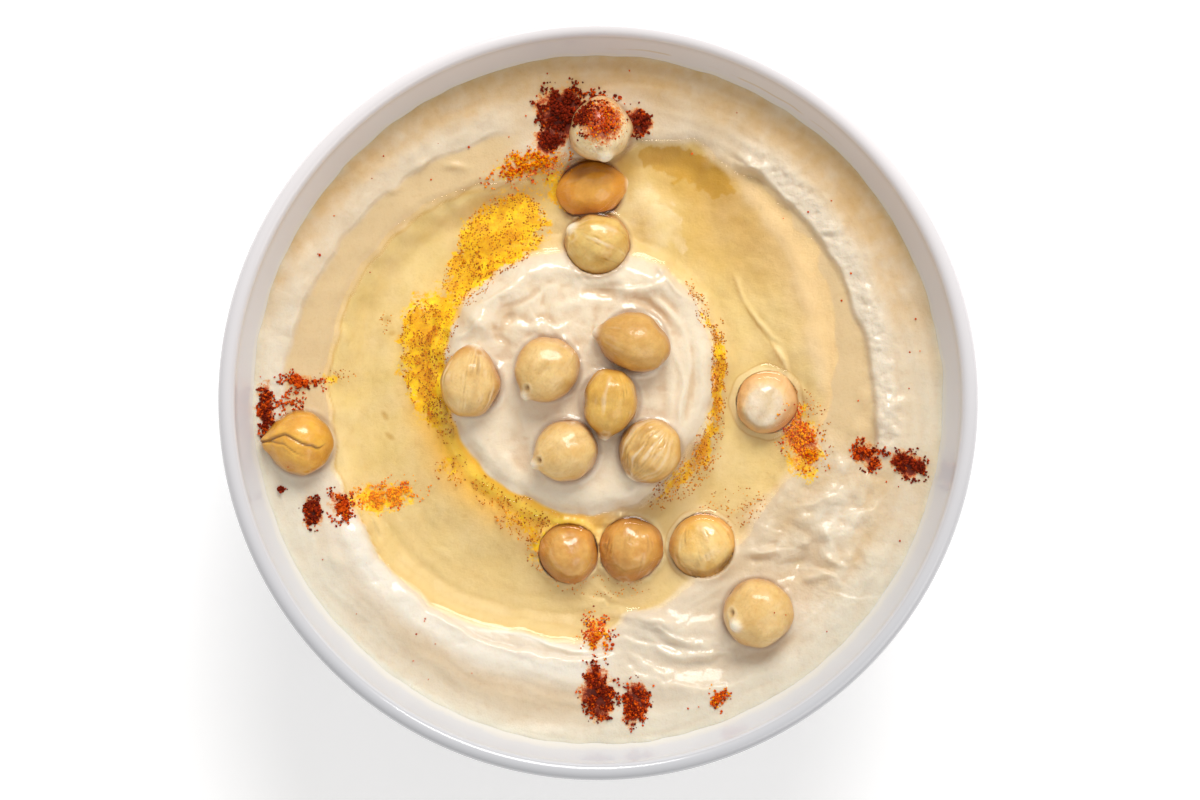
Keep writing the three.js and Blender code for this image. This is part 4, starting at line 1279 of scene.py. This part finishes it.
def make_paprika():
    """The grains of the pinches, of the first chickpea and between them, and the specks in the oil."""
    rng = np.random.default_rng(PAPRIKA_SEED)
    kinds = {"paprika_dark": [], "paprika_red": [], "paprika_orange": []}
    for at, half_length, half_width, heading, count, dark, red in PINCHES:
        count = int(DENSITY * count)
        places = scatter(rng, at, half_length, half_width, heading, count, PINCH_CLUMPING)
        pick = rng.uniform(0, 1, count)
        kinds["paprika_dark"].append(places[pick < dark])
        kinds["paprika_red"].append(places[(pick >= dark) & (pick < dark + red)])
        kinds["paprika_orange"].append(places[pick >= dark + red])
    middle = PEA_FRAMES[0][0]
    for kind, count, reach in ON_FIRST:
        around = rng.normal(0, FIRST_SPREAD, (count, 2)) * reach
        kinds[kind].append(middle[:2] + FIRST_PLACE + around)
    lone = rng.uniform(0, 2 * np.pi, LONE_GRAINS)
    far = rng.uniform(*LONE_RING, LONE_GRAINS)
    kinds["paprika_red"].append(np.stack([far * np.cos(lone), far * np.sin(lone)], -1))
    made = []
    for name, found in kinds.items():
        places = np.concatenate(found)
        low, high = GRAIN[name]
        sizes = rng.uniform(low, high, len(places)) * rng.uniform(0.6, 1.0, len(places))
        inside = np.hypot(places[:, 0], places[:, 1]) < SPICE_REACH
        places, sizes = places[inside], sizes[inside]
        z = ground_under(places[:, 0], places[:, 1])
        z = z + sizes * GRAIN_LIFT + pile_up(places)
        made.append(make_grains(name, np.column_stack([places, z]), sizes, rng, lumpy_grain()))
    specks = np.concatenate([scatter(rng, *dusting, SPECK_CLUMPING, even=True) for dusting in DUSTINGS])
    clear = np.min([near_pea(place, specks[:, 0], specks[:, 1]) for place in PEA_FRAMES], 0) > SPECK_GAP
    specks = specks[clear]
    low, high = GRAIN["paprika_specks"]
    sizes = rng.uniform(low, high, len(specks))
    z = ground_under(specks[:, 0], specks[:, 1])
    z = np.where(z < OIL_LEVEL, np.maximum(z, OIL_LEVEL - SPECK_DEPTH * rng.uniform(0, 1, len(z)) ** 2), z)
    made.append(make_grains("paprika_specks", np.column_stack([specks, z]), sizes, rng, octahedron()))
    return made


def pile_up(places):
    """How high the grains that lie under each one have raised it, in millimetres."""
    seen = {}
    height = np.zeros(len(places))
    for k, cell in enumerate(map(tuple, np.floor(places / STACK).astype(int).tolist())):
        height[k] = STACK_RISE * seen.get(cell, 0)
        seen[cell] = seen.get(cell, 0) + 1
    return np.minimum(height, STACK_LIMIT)


# ---- materials
class Nodes:
    """A material with a Principled shader, and short names for building its node tree."""

    def __init__(self, name):
        self.material = bpy.data.materials.new(name)
        self.material.use_nodes = True
        self.tree = self.material.node_tree
        self.shader = self.tree.nodes["Principled BSDF"]

    def put(self, item, socket):
        """Gives a socket a number, a colour or another node's output."""
        if isinstance(item, bpy.types.NodeSocket):
            self.tree.links.new(item, socket)
        else:
            socket.default_value = rgb(item) if isinstance(item, str) else item

    def set(self, **values):
        """Fills sockets of the shader."""
        for key, item in values.items():
            self.put(item, self.shader.inputs[key.replace("_", " ")])

    def node(self, kind, inputs, output=0, **settings):
        """A new node with its inputs filled. Gives back one of its outputs."""
        node = self.tree.nodes.new(kind)
        for key, value in settings.items():
            setattr(node, key, value)
        for key, item in inputs.items():
            self.put(item, node.inputs[key])
        return node.outputs[output]

    def place(self):
        return self.node("ShaderNodeTexCoord", {}, "Object")

    def noise(self, scale, detail, roughness=0.55):
        inputs = {"Scale": scale, "Detail": detail, "Roughness": roughness, "Vector": self.place()}
        return self.node("ShaderNodeTexNoise", inputs, "Fac")

    def value(self, name, output="Fac"):
        """What a mesh attribute holds."""
        return self.node("ShaderNodeAttribute", {}, output, attribute_name=name)

    def math(self, operation, *items):
        return self.node("ShaderNodeMath", dict(enumerate(items)), operation=operation)

    def times(self, first, *others):
        for other in others:
            first = self.math("MULTIPLY", first, other)
        return first

    def span(self, value, low, high, to_low=0.0, to_high=1.0):
        """A value carried from one span to another, and held at its ends."""
        inputs = {"Value": value, "From Min": low, "From Max": high, "To Min": to_low, "To Max": to_high}
        return self.node("ShaderNodeMapRange", inputs, "Result")

    def mix(self, factor, a, b, blend="MIX"):
        """One colour mixed into another. Sockets 6, 7 and 2 are the ones for colours."""
        return self.node("ShaderNodeMix", {0: factor, 6: a, 7: b}, 2, data_type="RGBA", blend_type=blend)

    def bump(self, height, strength, distance, **normal):
        inputs = {"Strength": strength, "Distance": distance, "Height": height, **normal}
        return self.node("ShaderNodeBump", inputs)


def glaze_material():
    n = Nodes("white_glaze")
    x, y, z = (n.node("ShaderNodeSeparateXYZ", {0: n.place()}, axis) for axis in "XYZ")
    # Painted light and shade: the white is greyer and darker towards -y, lighter and pinker towards +y, where
    # the far wall takes warm light from the dip.
    side = n.span(y, -0.05, 0.05)
    white = n.mix(side, "#cccfd6", "#e4dfe1")
    white = n.mix(n.span(n.noise(18, 3), 0.3, 0.7, 0.0, 0.5), white, "#dfe0e4")
    # Painted shade: the lip, and still more the outside below it, are greyer than the inner wall, and the lip
    # is darker towards -y.
    above = n.value("above")
    outer = n.mix(side, "#c5c6ca", "#e4dfe0")
    outer = n.mix(n.span(z, 0.050, 0.046), outer, "#cacace")
    white = n.mix(n.span(above, 12, 18), white, outer)
    # The foot ring's underside is bare clay.
    bare = n.span(z, 0.0006, 0.0002)
    color = n.mix(bare, white, "#cdbfa8")
    # A thin film of dip and oil clings to the wall just above the dip, thickest on the lower side.
    lower = n.span(y, 0.02, -0.03)
    reach = n.math("ADD", n.span(n.noise(170, 5, 0.65), 0.3, 0.7, 0.4, 1.9), n.times(lower, 1.2))
    film = n.span(n.math("DIVIDE", above, reach), 1.0, 0.375, 0.0, 0.75)
    color = n.mix(film, color, "#e6e2d8")
    haze = n.times(n.span(above, 4.5, 0.5), n.span(lower, 0, 1, 0.15, 0.3))
    color = n.mix(haze, color, "#e6e6e2")
    # Where the dip stood higher it left a faint line on the far wall.
    line = n.span(n.math("ABSOLUTE", n.math("SUBTRACT", above, 2.4)), 0.35, 0.0)
    far_side = n.times(n.span(y, 0.046, 0.054, 0.0, 0.6), n.span(x, 0.0, 0.01))
    color = n.mix(n.times(line, far_side, n.span(n.noise(120, 3), 0.42, 0.55)), color, "#cdb47a")
    wave = n.bump(n.noise(55, 2), 0.12, 0.0004)
    n.set(Base_Color=color, Roughness=n.span(bare, 0, 1, 0.20, 0.75), Coat_Weight=0.5, Coat_Roughness=0.06,
          IOR=1.5, Normal=n.bump(n.noise(1300, 2), 0.05, 0.0001, Normal=wave))
    return n.material


def powder(n, color, *tones):
    """Red dust over a colour: where each tone starts and is full, how far it covers, and its colour."""
    grains = n.span(n.noise(1500, 6, 0.75), 0.28, 0.72, -0.5, 0.5)
    red = n.math("ADD", n.value("red"), grains)
    for start, full, cover, tone in tones:
        color = n.mix(n.span(red, start, full, 0.0, cover), color, tone)
    return color


def hummus_material():
    n = Nodes("hummus_paste")
    mid = n.noise(650, 4, 0.55)
    fine = n.noise(2300, 4, 0.6)
    wet = n.value("wet")
    color = n.mix(n.span(fine, 0.56, 0.72, 0.0, 0.12), n.value("paint", "Color"), "#cfae7c", "MULTIPLY")
    color = n.mix(n.span(mid, 0.35, 0.5, 0.07, 0.0), color, "#c9a878", "MULTIPLY")
    # The spices' edges break up into the grain of the dip.
    coarse = n.span(n.noise(480, 4, 0.6), 0.3, 0.7, -0.4, 0.4)
    uneven = n.math("ADD", coarse, n.span(n.noise(1700, 3, 0.6), 0.3, 0.7, -0.3, 0.3))
    amount = n.value("yellow")
    uneven = n.times(uneven, n.span(amount, 0.02, 0.2))
    yellow = n.span(n.math("ADD", amount, uneven), 0.34, 0.70)
    tone = n.mix(n.span(n.noise(430, 4, 0.6), 0.36, 0.64), "#e8ae00", "#fede12")
    color = n.mix(yellow, color, tone)
    color = n.mix(n.times(yellow, n.span(n.noise(1300, 4, 0.7), 0.48, 0.62, 0.0, 0.5)), color, "#de9c00")
    color = powder(n, color, (0.36, 0.60, 0.55, "#eca034"), (0.62, 0.86, 0.85, "#c44404"),
                   (0.95, 1.2, 0.92, "#6c1804"))
    dull = n.math("SUBTRACT", n.span(n.noise(300, 3), 0.35, 0.65, 0.42, 0.58), n.times(wet, 0.18))
    rough = n.bump(mid, n.span(n.value("grit"), 0, 1, 0.18, 0.8), 0.0005)
    n.set(Base_Color=color, Roughness=dull, Coat_Weight=n.span(wet, 0, 1, 0.08, 0.95), Coat_Roughness=0.06,
          IOR=1.42, Specular_IOR_Level=0.3, Subsurface_Weight=0.35, Subsurface_Scale=0.0014,
          Subsurface_Radius=(1.0, 0.72, 0.45), Normal=n.bump(fine, 0.35, 0.0002, Normal=rough))
    return n.material


def oil_material():
    """Clear golden oil. Light falls through it to the dip as through a tinted pane."""
    n = Nodes("olive_oil")
    n.set(Base_Color=(1.0, 0.985, 0.90, 1.0), Roughness=0.02, IOR=1.38, Transmission_Weight=1.0)
    clear = n.node("ShaderNodeBsdfTransparent", {"Color": (1.0, 0.985, 0.92, 1.0)})
    shadow = n.node("ShaderNodeLightPath", {}, "Is Shadow Ray")
    both = n.node("ShaderNodeMixShader", {0: shadow, 1: n.shader.outputs[0], 2: clear})
    n.put(both, n.tree.nodes["Material Output"].inputs["Surface"])
    return n.material


# Base colour, second colour, colour for the painted shade low on the side and for soaked skin, roughness and
# coat of each look of chickpea.
PEA_LOOKS = {
    "dry": ("#edca88", "#deb266", "#b87022", 0.38, 0.6),
    "tan": ("#deb062", "#cd9848", "#a6621e", 0.38, 0.5),
    "golden": ("#ecbe60", "#d9a442", "#a4641a", 0.38, 0.6),
    "dusted": ("#f2dcb0", "#e8c88c", "#c07c30", 0.34, 0.6),
    "folded": ("#eaca7a", "#d9aa50", "#b06c20", 0.32, 0.7),
    "fanned": ("#eec67c", "#daa856", "#a86824", 0.34, 0.6),
    "split": ("#f0b84a", "#dc982a", "#9c5a12", 0.30, 0.7),
    "sunk": ("#ecae44", "#d8922e", "#c68020", 0.22, 0.8),
    "oiled": ("#e6b45e", "#d0903a", "#a8641e", 0.24, 0.9),
    "wet": ("#f6d58c", "#eab95e", "#c07e28", 0.22, 0.9),
    "pale": ("#efdec2", "#e2c89c", "#ca8a3e", 0.22, 0.9),
}


def pea_material(look):
    base, second, low, roughness, coat = PEA_LOOKS[look]
    n = Nodes("chickpea_" + look)
    color = n.mix(n.span(n.noise(260, 4, 0.6), 0.35, 0.68), base, second)
    color = n.mix(n.span(n.noise(1500, 3), 0.6, 0.75, 0.0, 0.22), color, "#c28a48")
    # Painted shade low on the side and, with the pit's own brown, in the creases; oil soaked into the skin;
    # the pale beak, with painted light on the ridges between creases.
    for name, cover, tone in (("side", 0.7, low), ("soaked", 0.5, low), ("pale", 0.9, "#fbf1da"),
                              ("dark", 0.8, "#83501c")):
        color = n.mix(n.times(n.value(name), cover), color, tone)
    if look == "dusted":
        color = powder(n, color, (0.45, 0.62, 0.75, "#e07a14"), (0.70, 0.95, 0.85, "#b03404"))
    # Painted light: the sunk chickpea glows faintly, to lift it from the shade under the oil.
    if look == "sunk":
        n.set(Emission_Color="#e8901c", Emission_Strength=0.07)
    skin = n.bump(n.noise(480, 5, 0.6), 0.55, 0.0005)
    n.set(Base_Color=color, Roughness=roughness, Coat_Weight=coat, Coat_Roughness=0.12, IOR=1.44,
          Subsurface_Weight=0.2, Subsurface_Scale=0.0018, Subsurface_Radius=(1.0, 0.55, 0.25),
          Normal=n.bump(n.noise(2600, 2), 0.12, 0.0001, Normal=skin))
    return n.material


def paprika_material(name, low, high):
    n = Nodes(name)
    color = n.mix(n.value("shade"), low, high)
    color = n.mix(n.span(n.noise(2500, 3), 0.5, 0.7, 0.0, 0.4), color, low)
    n.set(Base_Color=color, Roughness=0.7, IOR=1.45, Specular_IOR_Level=0.12,
          Normal=n.bump(n.noise(4000, 3), 0.4, 0.00008))
    return n.material


def floor_material():
    n = Nodes("pale_floor")
    n.set(Base_Color=n.mix(n.noise(6, 3), "#fcfcfc", "#ffffff"), Roughness=0.6,
          Emission_Color=(1, 1, 1, 1), Emission_Strength=0.2)
    return n.material


# ---- the stage
# The camera's height over the middle of the lip and its sensor's width, in millimetres.
VIEW_HEIGHT = 600.0
SENSOR = 36.0
# Lights in metres: the point they face, and each one's name, place, size, power and colour.
AIM = (0, 0, 0.04)
LIGHTS = [
    ("window", (0.14, 0.75, 0.73), (0.7, 0.45), 8.3, (1.0, 0.99, 0.975)),
    ("fill", (0.5, -0.5, 0.7), (0.6, 0.6), 1.2, (1.0, 0.98, 0.95)),
]
SKY = (1.0, 0.99, 0.98, 1)
SKY_STRENGTH = 0.56
FLOOR_HALF = 3.0
FLOOR_GAP = 0.0002


def make_camera():
    """Looks straight down, with the picture's scale at the rim."""
    data = bpy.data.cameras.new("camera")
    data.sensor_width = SENSOR
    data.lens = SENSOR * VIEW_HEIGHT / (PICTURE[0] / PIXELS_PER_MM)
    data.clip_start = 0.01
    camera = add_object("camera", data)
    x, y = px(PICTURE[0] / 2, PICTURE[1] / 2)
    camera.location = (x * MM, y * MM, (LIP_HEIGHT + VIEW_HEIGHT) * MM)
    bpy.context.scene.camera = camera


def make_light(name, place, size, power, color):
    data = bpy.data.lights.new(name, "AREA")
    data.shape = "ELLIPSE"
    data.size, data.size_y = size
    data.energy = power
    data.color = color
    light = add_object(name, data)
    light.location = place
    light.rotation_euler = (Vector(AIM) - Vector(place)).to_track_quat("-Z", "Y").to_euler()


def make_stage():
    scene = bpy.context.scene
    scene.world = bpy.data.worlds.new("studio")
    scene.world.use_nodes = True
    background = scene.world.node_tree.nodes["Background"]
    background.inputs["Color"].default_value = SKY
    background.inputs["Strength"].default_value = SKY_STRENGTH
    for light in LIGHTS:
        make_light(*light)
    mesh = bpy.data.meshes.new("floor")
    corners = [(-1, -1), (1, -1), (1, 1), (-1, 1)]
    mesh.from_pydata([(FLOOR_HALF * x, FLOOR_HALF * y, 0) for x, y in corners], [], [(0, 1, 2, 3)])
    mesh.materials.append(floor_material())
    floor = add_object("floor", mesh)
    floor.location.z = -FLOOR_GAP
    scene.view_settings.view_transform = "Standard"
    scene.view_settings.look = "None"


# ---- putting it together
def dress(obj, material, slot, *nodes):
    obj.data.materials.clear()
    obj.data.materials.append(material)
    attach(obj, BODY)
    if nodes:
        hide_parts(*nodes)


make_camera()
make_stage()
dress(make_bowl(), glaze_material(), "glaze", "bowl")
dress(make_hummus(), hummus_material(), "dip", "hummus")
dress(make_oil(), oil_material(), "oil", "olive_oil")
pea_materials = {look: pea_material(look) for look in PEA_LOOKS}
for number, (pea, place) in enumerate(zip(CHICKPEAS, PEA_FRAMES), 1):
    dress(make_chickpea(number, pea, place), pea_materials[pea.look], "chickpea", f"chickpea_{number:02d}")
PAPRIKA_COLORS = {
    "paprika_dark": ("#561204", "#962806"),
    "paprika_red": ("#ae2c02", "#ea640a"),
    "paprika_orange": ("#ec8400", "#ffb600"),
    "paprika_specks": ("#964400", "#ee9c00"),
}
for obj in make_paprika():
    dress(obj, paprika_material(obj.name, *PAPRIKA_COLORS[obj.name]), "dip")
